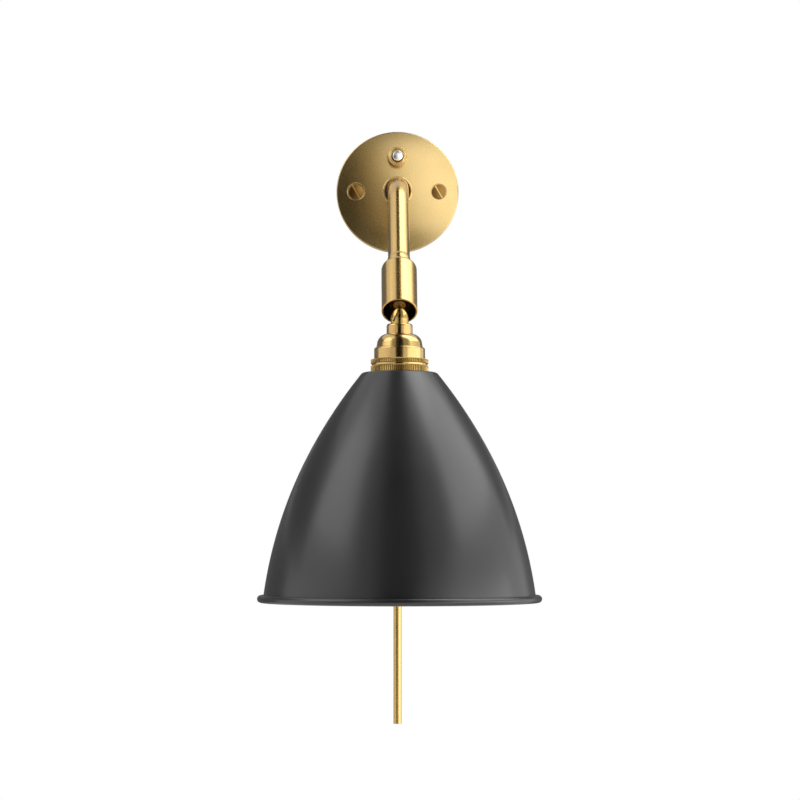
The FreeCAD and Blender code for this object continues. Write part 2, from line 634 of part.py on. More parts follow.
def draw_route(sketch, stops):
    """Draws an open route through its stops, which pipes follow."""
    corners = [V(value(s[0]), value(s[1]), 0) for s in stops]
    previous = None
    for number in range(1, len(stops)):
        across, along, radius, turn = stops[number]
        start, end = corners[number - 1], corners[number]
        if radius is None:
            edge = sketch.addGeometry(Part.LineSegment(start, end))
            first, last = 1, 2
        else:
            edge = sketch.addGeometry(arc_curve(start, end, value(radius), turn))
            first, last = (1, 2) if turn > 0 else (2, 1)
            size = sketch.addConstraint(Sketcher.Constraint("Radius", edge, value(radius)))
            sketch.renameConstraint(size, "radius_stop%d" % number)
            sketch.setExpression("Constraints.radius_stop%d" % number, radius)
        if previous is None:
            pin_point(sketch, edge, first, stops[0][0], stops[0][1], "stop0")
        else:
            sketch.addConstraint(
                Sketcher.Constraint("Coincident", previous[0], previous[1], edge, first))
        pin_point(sketch, edge, last, across, along, "stop%d" % number)
        previous = (edge, last)


def make_arm_root_bush():
    """The threaded bush in the arm's root, which the lock nut pulls against the strap."""
    body = new_body("arm_root_bush")
    seat = "sizes.arm_diameter / 2 - sizes.arm_wall - 0.05"
    thread = "sizes.root_thread_diameter / 2"
    bore = "sizes.root_thread_bore / 2"
    turn_outline(body, "root_bush", [
        line(bore, "-sizes.root_thread_reach"),
        line(thread, "-sizes.root_thread_reach"),
        line(thread, "sizes.strap_thickness"),
        line(seat, "sizes.strap_thickness"),
        line(seat, "sizes.arm_root_run - 2"),
        line(bore, "sizes.arm_root_run - 2"),
    ])
    face_from_wall(body)


def make_arm_root_washer():
    body = new_body("arm_root_washer")
    turn_outline(body, "root_washer", [
        line("sizes.root_thread_diameter / 2 + 0.1", "-sizes.root_washer_thickness"),
        line("sizes.root_washer_diameter / 2", "-sizes.root_washer_thickness"),
        line("sizes.root_washer_diameter / 2", "0"),
        line("sizes.root_thread_diameter / 2 + 0.1", "0"),
    ])
    face_from_wall(body)


def make_arm_root_nut():
    """A hexagon lock nut with turned corners."""
    body = new_body("arm_root_nut")
    back = "-(sizes.root_washer_thickness + sizes.root_nut_thickness)"
    hexagon = new_sketch(body, "nut_hexagon", "XY_Plane", back)
    corner = "(sizes.root_nut_across_flats / 2 / cos(30 deg))"
    draw_outline(hexagon, [
        line("%s * cos(%d deg)" % (corner, angle), "%s * sin(%d deg)" % (corner, angle))
        for angle in range(0, 360, 60)
    ])
    draw_circle(hexagon, "0", "0", "sizes.root_thread_diameter + 0.1", "thread")
    pad(body, "nut_pad", hexagon, "sizes.root_nut_thickness")
    bevel = new_sketch(body, "nut_bevel", "XZ_Plane")
    draw_outline(bevel, [
        line("sizes.root_nut_across_flats / 2", back),
        line("%s + 1" % corner, back),
        line("%s + 1" % corner, "%s + 1.2" % back),
    ])
    cut = body.newObject("PartDesign::Groove", "nut_corners")
    cut.Profile = (bevel, [""])
    cut.ReferenceAxis = (bevel, ["V_Axis"])
    cut.Angle = 360
    face_from_wall(body)


def make_arm_collar():
    """The rounded bead on the arm just above the sleeve."""
    body = new_body("arm_collar")
    bore = "sizes.arm_diameter / 2 + 0.05"
    top = "(%s - sizes.bead_length)" % SLEEVE_TOP
    turn_outline(body, "bead", [
        line(bore, top),
        arc("sizes.bead_diameter / 2", "%s + 0.62 * sizes.bead_length" % top, "12", 1),
        arc("sizes.bead_foot_diameter / 2", SLEEVE_TOP, "4", 1),
        line(bore, SLEEVE_TOP),
    ])
    along_arm(body)


def make_joint_sleeve():
    """A thin open sleeve with a rounded shoulder that closes on the arm tube."""
    body = new_body("joint_sleeve")
    bore = "sizes.arm_diameter / 2 + 0.05"
    side = "sizes.sleeve_diameter / 2"
    inside = "sizes.sleeve_diameter / 2 - sizes.sleeve_wall"
    mouth = "(-sizes.sleeve_mouth_gap)"
    turn_outline(body, "sleeve", [
        line(bore, SLEEVE_TOP),
        line("%s - sizes.sleeve_shoulder_round" % side, SLEEVE_TOP),
        arc(side, "%s + sizes.sleeve_shoulder_round" % SLEEVE_TOP,
            "sizes.sleeve_shoulder_round", 1),
        line(side, "%s - sizes.sleeve_mouth_round" % mouth),
        arc("%s - sizes.sleeve_mouth_round" % side, mouth, "sizes.sleeve_mouth_round", 1),
        line(inside, mouth),
        line(inside, "%s + sizes.sleeve_shoulder_depth" % SLEEVE_TOP),
        line(bore, "%s + sizes.sleeve_shoulder_depth" % SLEEVE_TOP),
    ])
    along_arm(body)


def make_stud_plug():
    """The plug in the tube's end that holds the ball stud."""
    body = new_body("stud_plug")
    bore = "sizes.stud_diameter / 2 + 0.05"
    seat = "sizes.arm_diameter / 2 - sizes.arm_wall - 0.05"
    lip = "sizes.arm_diameter / 2 - 0.2"
    tube_end = "(-sizes.arm_end_gap)"
    turn_outline(body, "plug", [
        line(bore, "%s - sizes.plug_length" % tube_end),
        line(seat, "%s - sizes.plug_length" % tube_end),
        line(seat, tube_end),
        line(lip, tube_end),
        line(lip, "%s + sizes.plug_lip" % tube_end),
        line(bore, "%s + sizes.plug_lip" % tube_end),
    ])
    along_arm(body)


def make_ball_stud():
    """The stud with its flat end, its slim stem and the ball that the socket grips."""
    body = new_body("ball_stud")
    ball = "sizes.ball_diameter / 2"
    stem = "sizes.stem_diameter / 2"
    stud = "sizes.stud_diameter / 2"
    face = "(-sizes.stud_face_gap)"
    back = "(-sizes.arm_end_gap - sizes.plug_length / 2)"
    turn_outline(body, "stud", [
        line("0", back),
        line("0", ball),
        arc(stem, "-sqrt(pow(%s; 2) - pow(%s; 2))" % (ball, stem), ball, -1),
        line(stem, face),
        line("%s - sizes.stud_edge_round" % stud, face),
        arc(stud, "%s - sizes.stud_edge_round" % face, "sizes.stud_edge_round", -1),
        line(stud, back),
    ])
    along_arm(body)


def make_knuckle_socket():
    """The domed socket on the ball, with its swing slot behind and its slanted slit in front."""
    body = new_body("knuckle_socket")
    foot = "sizes.socket_diameter / 2"
    thread = "sizes.nipple_diameter / 2 + 0.05"
    cavity = "(sizes.ball_diameter / 2 + sizes.ball_clearance)"
    mouth = "(sizes.socket_mouth_diameter / 2)"
    seat = "(%s + sizes.nipple_rise)" % NECK_TOP
    turn_outline(body, "socket", [
        line(thread, NECK_TOP),
        line(foot, NECK_TOP),
        line(foot, "%s + sizes.socket_foot_height" % NECK_TOP),
        arc("sizes.socket_top_diameter / 2", "sizes.socket_rise", "sizes.socket_dome_radius", 1),
        line(mouth, "sizes.socket_rise"),
        line(mouth, "sqrt(pow(%s; 2) - pow(%s; 2))" % (cavity, mouth)),
        arc(cavity, "0", cavity, -1),
        line(cavity, seat),
        line(thread, seat),
    ])
    swing = new_sketch(body, "swing_slot", "XZ_Plane")
    half = "sizes.swing_slot_width / 2"
    bottom = "(sizes.swing_slot_floor + 0.32 * sizes.swing_slot_width)"
    draw_outline(swing, [
        line("-%s" % half, "sizes.socket_rise + 1"),
        line("-%s" % half, bottom),
        arc(half, bottom, "0.55 * sizes.swing_slot_width", 1),
        line(half, "sizes.socket_rise + 1"),
    ])
    pocket(body, "swing_slot_cut", swing, "sizes.socket_diameter")
    slit = new_sketch(body, "spring_slit", "XZ_Plane")
    draw_bar(slit, ("-0.3 * %s" % foot, "0.2"), "(1.9 * %s)" % foot,
             "sizes.spring_slit_width", "(90 - sizes.spring_slit_lean)")
    pocket(body, "spring_slit_cut", slit, "sizes.socket_diameter", True)
    under_ball(body)


def make_friction_seat():
    """The ring under the ball that keeps the joint stiff."""
    body = new_body("friction_seat")
    bore = "sizes.nipple_bore / 2"
    cavity = "(sizes.ball_diameter / 2 + sizes.ball_clearance)"
    outside = "%s - 0.05" % cavity
    bottom = "(%s + sizes.nipple_rise)" % NECK_TOP
    top = "(-0.3 * %s)" % cavity
    turn_outline(body, "friction_ring", [
        line(bore, bottom),
        line(outside, bottom),
        line(outside, top),
        line("0.95 * %s" % cavity, top),
        arc(bore, "-sqrt(pow(%s; 2) - pow(%s; 2))" % (cavity, bore), cavity, -1),
    ])
    under_ball(body)


def make_nipple():
    body = new_body("lampholder_nipple")
    top = "(%s + sizes.nipple_rise)" % NECK_TOP
    turn_outline(body, "nipple", [
        line("sizes.nipple_bore / 2", "%s - sizes.nipple_length" % top),
        line("sizes.nipple_diameter / 2", "%s - sizes.nipple_length" % top),
        line("sizes.nipple_diameter / 2", top),
        line("sizes.nipple_bore / 2", top),
    ])
    under_ball(body)


def make_neck_ring():
    body = new_body("neck_ring")
    bore = "sizes.nipple_diameter / 2 + 0.05"
    side = "sizes.neck_diameter / 2"
    turn_outline(body, "neck", [
        line(bore, CAP_TOP),
        line(side, CAP_TOP),
        line(side, "%s - sizes.neck_round" % NECK_TOP),
        arc("%s - sizes.neck_round" % side, NECK_TOP, "sizes.neck_round", 1),
        line(bore, NECK_TOP),
    ])
    under_ball(body)


def make_lampholder_cap():
    """The domed brass cap over the lampholder's body."""
    body = new_body("lampholder_cap")
    bore = "sizes.nipple_diameter / 2 + 0.05"
    land = "sizes.cap_land_diameter / 2"
    shoulder = "sizes.cap_shoulder_diameter / 2"
    edge = "sizes.cap_diameter / 2"
    wall = "sizes.cap_wall"
    shoulder_level = "(%s - sizes.cap_shoulder_drop)" % CAP_TOP
    turn_outline(body, "cap", [
        line(bore, CAP_TOP),
        line(land, CAP_TOP),
        arc(shoulder, shoulder_level, "sizes.cap_dome_radius", -1),
        line(edge, SKIRT_TOP),
        line("%s - %s" % (edge, wall), SKIRT_TOP),
        line("%s - %s" % (shoulder, wall), shoulder_level),
        arc(land, "%s - %s" % (CAP_TOP, wall), "sizes.cap_dome_radius - %s" % wall, 1),
        line(bore, "%s - %s" % (CAP_TOP, wall)),
    ])
    under_ball(body)


def make_lampholder_skirt():
    """The lampholder's body: a plain band with a rounded top above its threaded part."""
    body = new_body("lampholder_skirt")
    side = "sizes.skirt_diameter / 2"
    crest = "sizes.thread_diameter / 2"
    inside = "(sizes.thread_diameter / 2 - sizes.skirt_wall)"
    ledge = "(sizes.cap_diameter / 2 - sizes.cap_wall)"
    turn_outline(body, "skirt", [
        line(ledge, SKIRT_TOP),
        line("%s - sizes.skirt_round" % side, SKIRT_TOP),
        arc(side, "%s - sizes.skirt_round" % SKIRT_TOP, "sizes.skirt_round", -1),
        line(side, RING_TOP),
        line(crest, RING_TOP),
        line(crest, SKIRT_FOOT),
        line(inside, SKIRT_FOOT),
        line(inside, "%s - sizes.skirt_wall" % SKIRT_TOP),
        line(ledge, "%s - sizes.skirt_wall" % SKIRT_TOP),
    ])
    under_ball(body)


def knurl(body, name, bottom, height):
    """Cuts one tooth gap down the ring's side and repeats it round the ring."""
    gap = new_sketch(body, name + "_gap", "XY_Plane", bottom)
    outside = "sizes.ring_diameter / 2"
    half = "(0.42 * pi * sizes.ring_diameter / sizes.knurl_count)"
    draw_outline(gap, [
        line("%s - sizes.knurl_depth" % outside, "0"),
        line("%s + 0.1" % outside, "-%s" % half),
        line("%s + 0.1" % outside, half),
    ])
    cut = pocket(body, name + "_gap_cut", gap, height, True)
    pattern = body.newObject("PartDesign::PolarPattern", name + "_teeth")
    pattern.Originals = [cut]
    pattern.Axis = (gap, ["N_Axis"])
    pattern.Angle = 360
    pattern.Occurrences = int(value("sizes.knurl_count"))
    pattern.setExpression("Occurrences", "sizes.knurl_count")
    body.Tip = pattern


def make_upper_ring():
    body = new_body("shade_ring_upper")
    side = "sizes.ring_diameter / 2"
    thread = "sizes.thread_diameter / 2 + 0.05"
    turn_outline(body, "upper_ring", [
        line(thread, LOWER_RING_TOP),
        line(side, LOWER_RING_TOP),
        line(side, RING_TOP),
        line(thread, RING_TOP),
    ])
    knurl(body, "upper_knurl", LOWER_RING_TOP, "sizes.upper_ring_height")
    under_ball(body)


def make_lower_ring():
    """The lower shade ring: a plain polished band above its knurl."""
    body = new_body("shade_ring_lower")
    side = "sizes.ring_diameter / 2"
    band = "sizes.ring_band_diameter / 2"
    band_foot = "(%s - sizes.ring_band_height)" % LOWER_RING_TOP
    thread = "sizes.thread_diameter / 2 + 0.05"
    turn_outline(body, "lower_ring", [
        line(thread, SHADE_TOP),
        line(side, SHADE_TOP),
        line(side, band_foot),
        line(band, band_foot),
        line(band, LOWER_RING_TOP),
        line(thread, LOWER_RING_TOP),
    ])
    knurl(body, "lower_knurl", SHADE_TOP, "sizes.lower_ring_height - sizes.ring_band_height")
    under_ball(body)


def make_inner_ring():
    body = new_body("shade_ring_inner")
    side = "sizes.inner_ring_diameter / 2"
    thread = "sizes.thread_diameter / 2 + 0.05"
    foot = "(%s - sizes.inner_ring_height)" % SHADE_UNDER
    turn_outline(body, "inner_ring", [
        line(thread, foot),
        line("%s - 0.6" % side, foot),
        line(side, "%s + 0.6" % foot),
        line(side, SHADE_UNDER),
        line(thread, SHADE_UNDER),
    ])
    under_ball(body)


def make_shade():
    """The spun bell: a flat top, two smooth curves down the side and a rolled rim."""
    body = new_body("shade")
    hole = "(sizes.thread_diameter / 2 + sizes.shade_hole_clearance)"
    sheet_depth = "sizes.shade_sheet"
    corner_r = "(sizes.shade_top_radius + sizes.shade_corner_width)"
    corner_z = "(%s - sizes.shade_corner_drop)" % SHADE_TOP
    waist_r = "sizes.shade_waist_radius"
    waist_z = "(%s - sizes.shade_waist_drop)" % SHADE_TOP
    rim_r = "sizes.rim_radius"
    rim_z = "(%s - sizes.shade_drop)" % SHADE_TOP
    bead = "sizes.rim_bead_radius"
    turn_outline(body, "bell", [
        line(hole, SHADE_TOP),
        line("sizes.shade_top_radius", SHADE_TOP),
        arc(corner_r, corner_z, "sizes.shade_corner_radius", -1),
        arc(waist_r, waist_z, "sizes.crown_curve_radius", -1),
        arc("%s - %s * cos(48 deg)" % (rim_r, bead), "%s + %s * sin(48 deg)" % (rim_z, bead),
            "sizes.skirt_curve_radius", -1),
        arc("%s + %s" % (rim_r, bead), rim_z, bead, -1),
        arc(rim_r, "%s - %s" % (rim_z, bead), bead, -1),
        arc("%s - %s" % (rim_r, bead), rim_z, bead, -1),
        arc("%s - 0.87 * %s" % (waist_r, sheet_depth), "%s - 0.49 * %s" % (waist_z, sheet_depth),
            "sizes.skirt_curve_radius - %s" % sheet_depth, 1),
        arc("%s - 0.78 * %s" % (corner_r, sheet_depth), "%s - 0.63 * %s" % (corner_z, sheet_depth),
            "sizes.crown_curve_radius - %s" % sheet_depth, 1),
        arc("sizes.shade_top_radius", SHADE_UNDER,
            "sizes.shade_corner_radius - %s" % sheet_depth, 1),
        line(hole, SHADE_UNDER),
    ])
    under_ball(body)


def make_holder_insulator():
    """The insulating body inside the lampholder, open below for the lamp."""
    body = new_body("holder_insulator")
    outside = "(sizes.thread_diameter / 2 - sizes.skirt_wall - 0.05)"
    bore = "sizes.holder_bore / 2"
    floor = "(%s - sizes.holder_floor)" % HOLDER_TOP
    turn_outline(body, "insulator", [
        line(bore, SKIRT_FOOT),
        line("%s - 0.5" % outside, SKIRT_FOOT),
        line(outside, "%s + 0.5" % SKIRT_FOOT),
        line(outside, HOLDER_TOP),
        line("0", HOLDER_TOP),
        line("0", floor),
        line(bore, floor),
    ])
    under_ball(body)


def make_screw_shell():
    """The shell that takes the lamp's thread, as wide inside as the crests, with a flange."""
    body = new_body("screw_shell")
    bore = "sizes.shell_bore / 2"
    outside = "(sizes.shell_bore / 2 + sizes.shell_depth + sizes.shell_sheet)"
    flange = "(sizes.holder_bore / 2 - 0.05)"
    mouth = "(%s + sizes.shell_inset)" % SKIRT_FOOT
    turn_outline(body, "shell", [
        line(bore, mouth),
        line(flange, mouth),
        line(flange, "%s + sizes.shell_sheet" % mouth),
        line(outside, "%s + sizes.shell_sheet" % mouth),
        line(outside, "%s + sizes.shell_length" % mouth),
        line(bore, "%s + sizes.shell_length" % mouth),
    ])
    under_ball(body)


def make_centre_contact():
    body = new_body("centre_contact")
    side = "sizes.contact_diameter / 2"
    floor = "(%s - sizes.holder_floor)" % HOLDER_TOP
    turn_outline(body, "contact", [
        line("0", floor),
        line("0", "%s - sizes.contact_height" % floor),
        arc(side, "%s - 0.4 * sizes.contact_height" % floor, "0.75 * sizes.contact_diameter", 1),
        line(side, floor),
    ])
    under_ball(body)


def make_tube_socket():
    """The turned socket on the strap's tongue that holds the cable tube's top."""
    body = new_body("tube_socket")
    side = "sizes.tube_socket_diameter / 2"
    bore = "sizes.tube_diameter / 2 + 0.05"
    top = TUBE_SOCKET_TOP
    foot = "(%s - sizes.tube_socket_length)" % top
    floor = "(%s - sizes.tube_socket_floor)" % top
    turn_outline(body, "tube_socket", [
        line(bore, foot),
        line("%s - 0.3" % side, foot),
        line(side, "%s + 0.3" % foot),
        line(side, "%s - 0.5" % top),
        line("%s - 0.5" % side, top),
        line("1.2", top),
        line("1.2", floor),
        line(bore, floor),
    ])
    flat = new_sketch(body, "socket_flat", "XY_Plane", "%s - 1" % foot)
    draw_bar(flat, ("0", "%s + 1 - %s" % (side, SOCKET_FLAT)), "sizes.tube_socket_diameter", "2",
             "0")
    pocket(body, "socket_flat_cut", flat, "sizes.tube_socket_length + 2", True)
    place(body, "0", TUBE_Y, "0", "0")


def make_cable_tube():
    """The thin open tube that covers the cable down the wall."""
    body = new_body("cable_tube")
    section = new_sketch(body, "tube_section", "XY_Plane", TUBE_FOOT)
    draw_circle(section, "0", "0", "sizes.tube_diameter", "outside")
    draw_circle(section, "0", "0", "sizes.tube_diameter - 2 * sizes.tube_wall", "inside")
    pad(body, "tube_pad", section, "sizes.tube_length - sizes.tube_socket_floor")
    place(body, "0", TUBE_Y, "0", "0")


def check_document():
    """Stops before anything is written if an object failed or a shape is not sound."""
    doc.recompute()
    for item in doc.Objects:
        if "Invalid" in item.State or "Error" in item.State:
            raise ValueError("%s failed: %s" % (item.Name, item.State))
    for body in made:
        if body.Shape.isNull() or not body.Shape.isValid() or len(body.Shape.Solids) != 1:
            raise ValueError("%s is not one sound solid" % body.Label)


make_wall_plate()
make_plate_screw("plate_screw_left", -1)
make_plate_screw("plate_screw_right", 1)
make_mounting_strap()
make_earth_screw()
make_switch_collar()
make_switch_body()
make_switch_plunger()
make_arm_tube()
make_arm_root_bush()
make_arm_root_washer()
make_arm_root_nut()
make_arm_collar()
make_joint_sleeve()
make_stud_plug()
make_ball_stud()
make_knuckle_socket()
make_friction_seat()
make_nipple()
make_neck_ring()
make_lampholder_cap()
make_lampholder_skirt()
make_upper_ring()
make_lower_ring()
make_inner_ring()
make_shade()
make_holder_insulator()
make_screw_shell()
make_centre_contact()
make_tube_socket()
make_cable_tube()
check_document()

os.makedirs("parts", exist_ok=True)
for body in made:
    body.Shape.exportStep("parts/%s.step" % body.Label)
    print("%-20s %9.1f mm3" % (body.Label, body.Shape.Volume))
print("ball centre: y %.2f z %.2f" % (value(PIVOT_Y), value(PIVOT_Z)))
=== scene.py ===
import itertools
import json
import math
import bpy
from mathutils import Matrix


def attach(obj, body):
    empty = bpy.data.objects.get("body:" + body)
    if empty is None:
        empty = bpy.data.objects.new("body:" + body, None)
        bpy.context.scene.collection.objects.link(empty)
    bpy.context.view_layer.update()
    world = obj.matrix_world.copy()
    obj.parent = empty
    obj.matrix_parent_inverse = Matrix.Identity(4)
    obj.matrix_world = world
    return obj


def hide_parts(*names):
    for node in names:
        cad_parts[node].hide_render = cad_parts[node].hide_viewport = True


bl_info = {
    "name": "Wall Lamp with Bell Shade",
    "version": (1, 0, 0),
    "blender": (4, 5, 0),
    "location": "3D View > Sidebar > Wall Lamp",
    "description": "Dresses the wall lamp: brass, painted shade, switch, joint and a plain studio",
    "category": "Object",
}

import bmesh
import bpy
from mathutils import Matrix, Vector

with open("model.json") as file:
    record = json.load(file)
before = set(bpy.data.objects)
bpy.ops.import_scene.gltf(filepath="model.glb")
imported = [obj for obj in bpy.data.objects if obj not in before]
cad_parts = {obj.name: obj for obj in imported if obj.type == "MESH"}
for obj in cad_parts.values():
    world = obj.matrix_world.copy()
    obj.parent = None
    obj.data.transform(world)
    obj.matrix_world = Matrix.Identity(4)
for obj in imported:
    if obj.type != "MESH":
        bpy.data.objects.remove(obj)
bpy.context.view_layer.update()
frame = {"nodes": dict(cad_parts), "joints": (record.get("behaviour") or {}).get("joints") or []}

MM = 0.001
TAU = 2 * math.pi
WHITE = (1.0, 1.0, 1.0, 1.0)
AXIS_REACH = 1e-4  # millimetres: a point nearer its axis than this is a pole
LONGEST_FACET = 4.0  # millimetres along an arc
PIVOT = Vector([j for j in frame["joints"] if j["name"] == "shade_tilt"][0]["pos_m"])
LAMP_MIDDLE = Vector((0, -0.09, -0.12))

# Where each drawing stands: out from the wall, down the arm, or upright under the ball.
WALL = Matrix.Rotation(math.radians(90), 4, "X")
SWITCH = Matrix.Translation((0, 0, 0.021)) @ WALL
ARM = Matrix.Translation(PIVOT) @ Matrix.Rotation(math.radians(142.5), 4, "X")
UNDER = Matrix.Translation(PIVOT)
TUBE = Matrix.Translation((0, -0.004, 0))


def linear(code):
    """Turns an sRGB hex colour into Blender's linear numbers."""
    numbers = []
    for start in (1, 3, 5):
        part = int(code[start:start + 2], 16) / 255
        numbers.append(part / 12.92 if part <= 0.04045 else ((part + 0.055) / 1.055) ** 2.4)
    return tuple(numbers) + (1.0,)


def length(name, description, default):
    """A size in metres that a user can change."""
    return bpy.props.FloatProperty(name=name, description=description, default=default,
                                   min=0.0001, unit="LENGTH", subtype="DISTANCE", precision=5)


def colour(name, description, default):
    """A colour that a user can change."""
    return bpy.props.FloatVectorProperty(name=name, description=description, size=4, min=0,
                                         max=1, subtype="COLOR", default=linear(default))


class LampSizes(bpy.types.PropertyGroup):
    arm_diameter: length("Arm", "Outside of the bent arm", 0.0127)
    arm_bend_radius: length("Bend", "Bend radius on the arm's centre line", 0.028)
    sleeve_diameter: length("Sleeve", "Outside of the joint sleeve", 0.0205)
    skirt_diameter: length("Lampholder", "Outside of the lampholder's body", 0.0289)
    ring_diameter: length("Shade rings", "Outside of the knurled rings", 0.0328)
    knurl_depth: length("Knurl depth", "Depth of the knurl on the rings", 0.0005)
    knurl_count: bpy.props.IntProperty(name="Knurl teeth", description="Teeth round each ring",
                                       default=90, min=12, max=180)
    rim_radius: length("Shade rim", "Radius of the rolled rim's centre", 0.078)
    bead_radius: length("Rim bead", "Radius of the rolled rim itself", 0.0021)
    shade_sheet: length("Shade sheet", "Thickness of the spun shade", 0.001)
    tube_diameter: length("Cable tube", "Outside of the tube down the wall", 0.0048)


class LampFinishes(bpy.types.PropertyGroup):
    brass: colour("Turned brass", "Arm, bead, sleeve and cable tube", "#dfb86c")
    brass_plate: colour("Pressed brass", "Wall plate", "#dabb78")
    brass_polished: colour("Polished brass", "Lampholder", "#dfb86c")
    shade_outside: colour("Shade outside", "Charcoal baked paint", "#18181a")
    shade_inside: colour("Shade inside", "White baked enamel", "#ece9e2")
    # The strap's grey is darkened as painted shade for the gap round the arm's root.
    steel: colour("Plated steel", "Mounting strap", "#55575a")
    chrome: colour("Chrome", "Push button", "#f4f5f6")
    porcelain: colour("Porcelain", "Lamp socket's body", "#e9e5da")
    phenolic: colour("Moulded phenolic", "Switch housing", "#161413")


class LampStudio(bpy.types.PropertyGroup):
    right_light: bpy.props.FloatProperty(name="Right light", default=2.4, min=0,
                                         description="Radiance of the large soft box at right")
    left_light: bpy.props.FloatProperty(name="Left light", default=2.0, min=0,
                                        description="Radiance of the soft box at left")
    room_light: bpy.props.FloatProperty(name="Room light", default=0.75, min=0,
                                        description="Even light from all round")
    floor_level: bpy.props.FloatProperty(name="Floor", default=-0.5, unit="LENGTH",
                                         description="Height of the pale floor")


# ---------------------------------------------------------------- drawing turned pieces

def line(across, along, tag=""):
    """A straight edge to a point, in millimetres from the axis and along it."""
    return (across, along, None, 0, tag)


def arc(across, along, radius, turn, tag=""):
    """An arc to a point; turn is 1 for anticlockwise and -1 for clockwise."""
    return (across, along, radius, turn, tag)


def arc_centre(start, end, radius, turn):
    """The centre of an arc of a radius between two points."""
    chord = end - start
    side = Vector((-chord.y, chord.x)) * (turn / chord.length)
    height = math.sqrt(max(radius ** 2 - (chord.length / 2) ** 2, 0.0))
    return (start + end) / 2 + side * height


def eased(steps, ease):
    """Rounds the corners between straight edges, as turning and handling leave them.

    Corners on the axis, corners that hardly bend (in radians) and edges that are shorter than
    the shortest (in millimetres) stay as they are.
    """
    slightest, shortest = 0.3, 0.02
    ends = [Vector(s[:2]) for s in steps]
    result = []
    for number, step in enumerate(steps):
        here = ends[number]
        following = steps[(number + 1) % len(steps)]
        result.append(step)
        if step[2] is not None or following[2] is not None or here.x < 0.01 or ease <= 0:
            continue
        back = here - ends[number - 1]
        ahead = ends[(number + 1) % len(steps)] - here
        bend = -back.angle_signed(ahead, 0.0)
        if abs(bend) < slightest or min(back.length, ahead.length) < shortest:
            continue
        cut = min(ease * math.tan(abs(bend) / 2), 0.4 * back.length, 0.4 * ahead.length)
        radius = cut / math.tan(abs(bend) / 2)
        first = here - back.normalized() * cut
        last = here + ahead.normalized() * cut
        result[-1] = line(first.x, first.y, step[4])
        result.append(arc(last.x, last.y, radius, 1 if bend > 0 else -1, step[4]))
    return result


def traced(steps, fine, rows):
    """Walks an outline and gives its edges: both ends with their directions, and a tag.

    fine is the widest step of an arc in degrees; rows gives a tagged line's longest step.
    """
    edges = []
    for number, (across, along, radius, turn, tag) in enumerate(steps):
        start, end = Vector(steps[number - 1][:2]), Vector((across, along))
        if (end - start).length < 1e-6:
            continue
        if radius is None:
            count = max(1, round((end - start).length / rows[tag])) if tag in rows else 1
            direction = (end - start).normalized()
            for part in range(count):
                edges.append((start.lerp(end, part / count), start.lerp(end, (part + 1) / count),
                              direction, direction, tag))
            continue
        centre = arc_centre(start, end, radius, turn)
        sweep = -(start - centre).angle_signed(end - centre, 0.0)
        if turn > 0 and sweep < 0:
            sweep += TAU
        if turn < 0 and sweep > 0:
            sweep -= TAU
        count = max(2, math.ceil(abs(sweep) / math.radians(fine)),
                    math.ceil(abs(sweep) * radius / LONGEST_FACET))
        stops = []
        for part in range(count + 1):
            spoke = Matrix.Rotation(sweep * part / count, 2) @ (start - centre)
            heading = Vector((-spoke.y, spoke.x)).normalized() * (1 if sweep > 0 else -1)
            stops.append((centre + spoke, heading))
        for (p0, d0), (p1, d1) in zip(stops, stops[1:]):
            edges.append((p0, p1, d0, d1, tag))
    return edges


def new_piece(name, mesh, body, nodes=()):
    """Puts a mesh in the scene as a piece that rides on a body of the lamp."""
    piece = bpy.data.objects.new(name, mesh)
    bpy.context.scene.collection.objects.link(piece)
    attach(piece, body)
    if nodes:
        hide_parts(*nodes)
    return piece


def turning_mesh(name, points, faces, places, materials):
    """A smooth mesh with its turning coordinates, in metres round and along the piece."""
    mesh = bpy.data.meshes.new(name)
    mesh.from_pydata(points, [], faces)
    for material in materials:
        mesh.materials.append(material)
    layer = mesh.uv_layers.new(name="turning")
    layer.data.foreach_set("uv", [value for pair in places for value in pair])
    mesh.shade_smooth()
    return mesh


def soften_edges(piece, width, angle):
    """Rounds the edges that are steeper than an angle, in degrees."""
    bevel = piece.modifiers.new("soft_edges", "BEVEL")
    bevel.width = width
    bevel.segments = 2
    bevel.limit_method = "ANGLE"
    bevel.angle_limit = math.radians(angle)
    bevel.harden_normals = True
    return bevel


def sharpen(mesh, angle):
    """Keeps edges steeper than an angle crisp and shades the rest smoothly."""
    work = bmesh.new()
    work.from_mesh(mesh)
    bmesh.ops.remove_doubles(work, verts=work.verts, dist=1e-7)
    bmesh.ops.recalc_face_normals(work, faces=work.faces)
    for face in work.faces:
        face.smooth = True
    for edge in work.edges:
        edge.smooth = edge.calc_face_angle(0.0) < math.radians(angle)
    work.to_mesh(mesh)
    work.free()


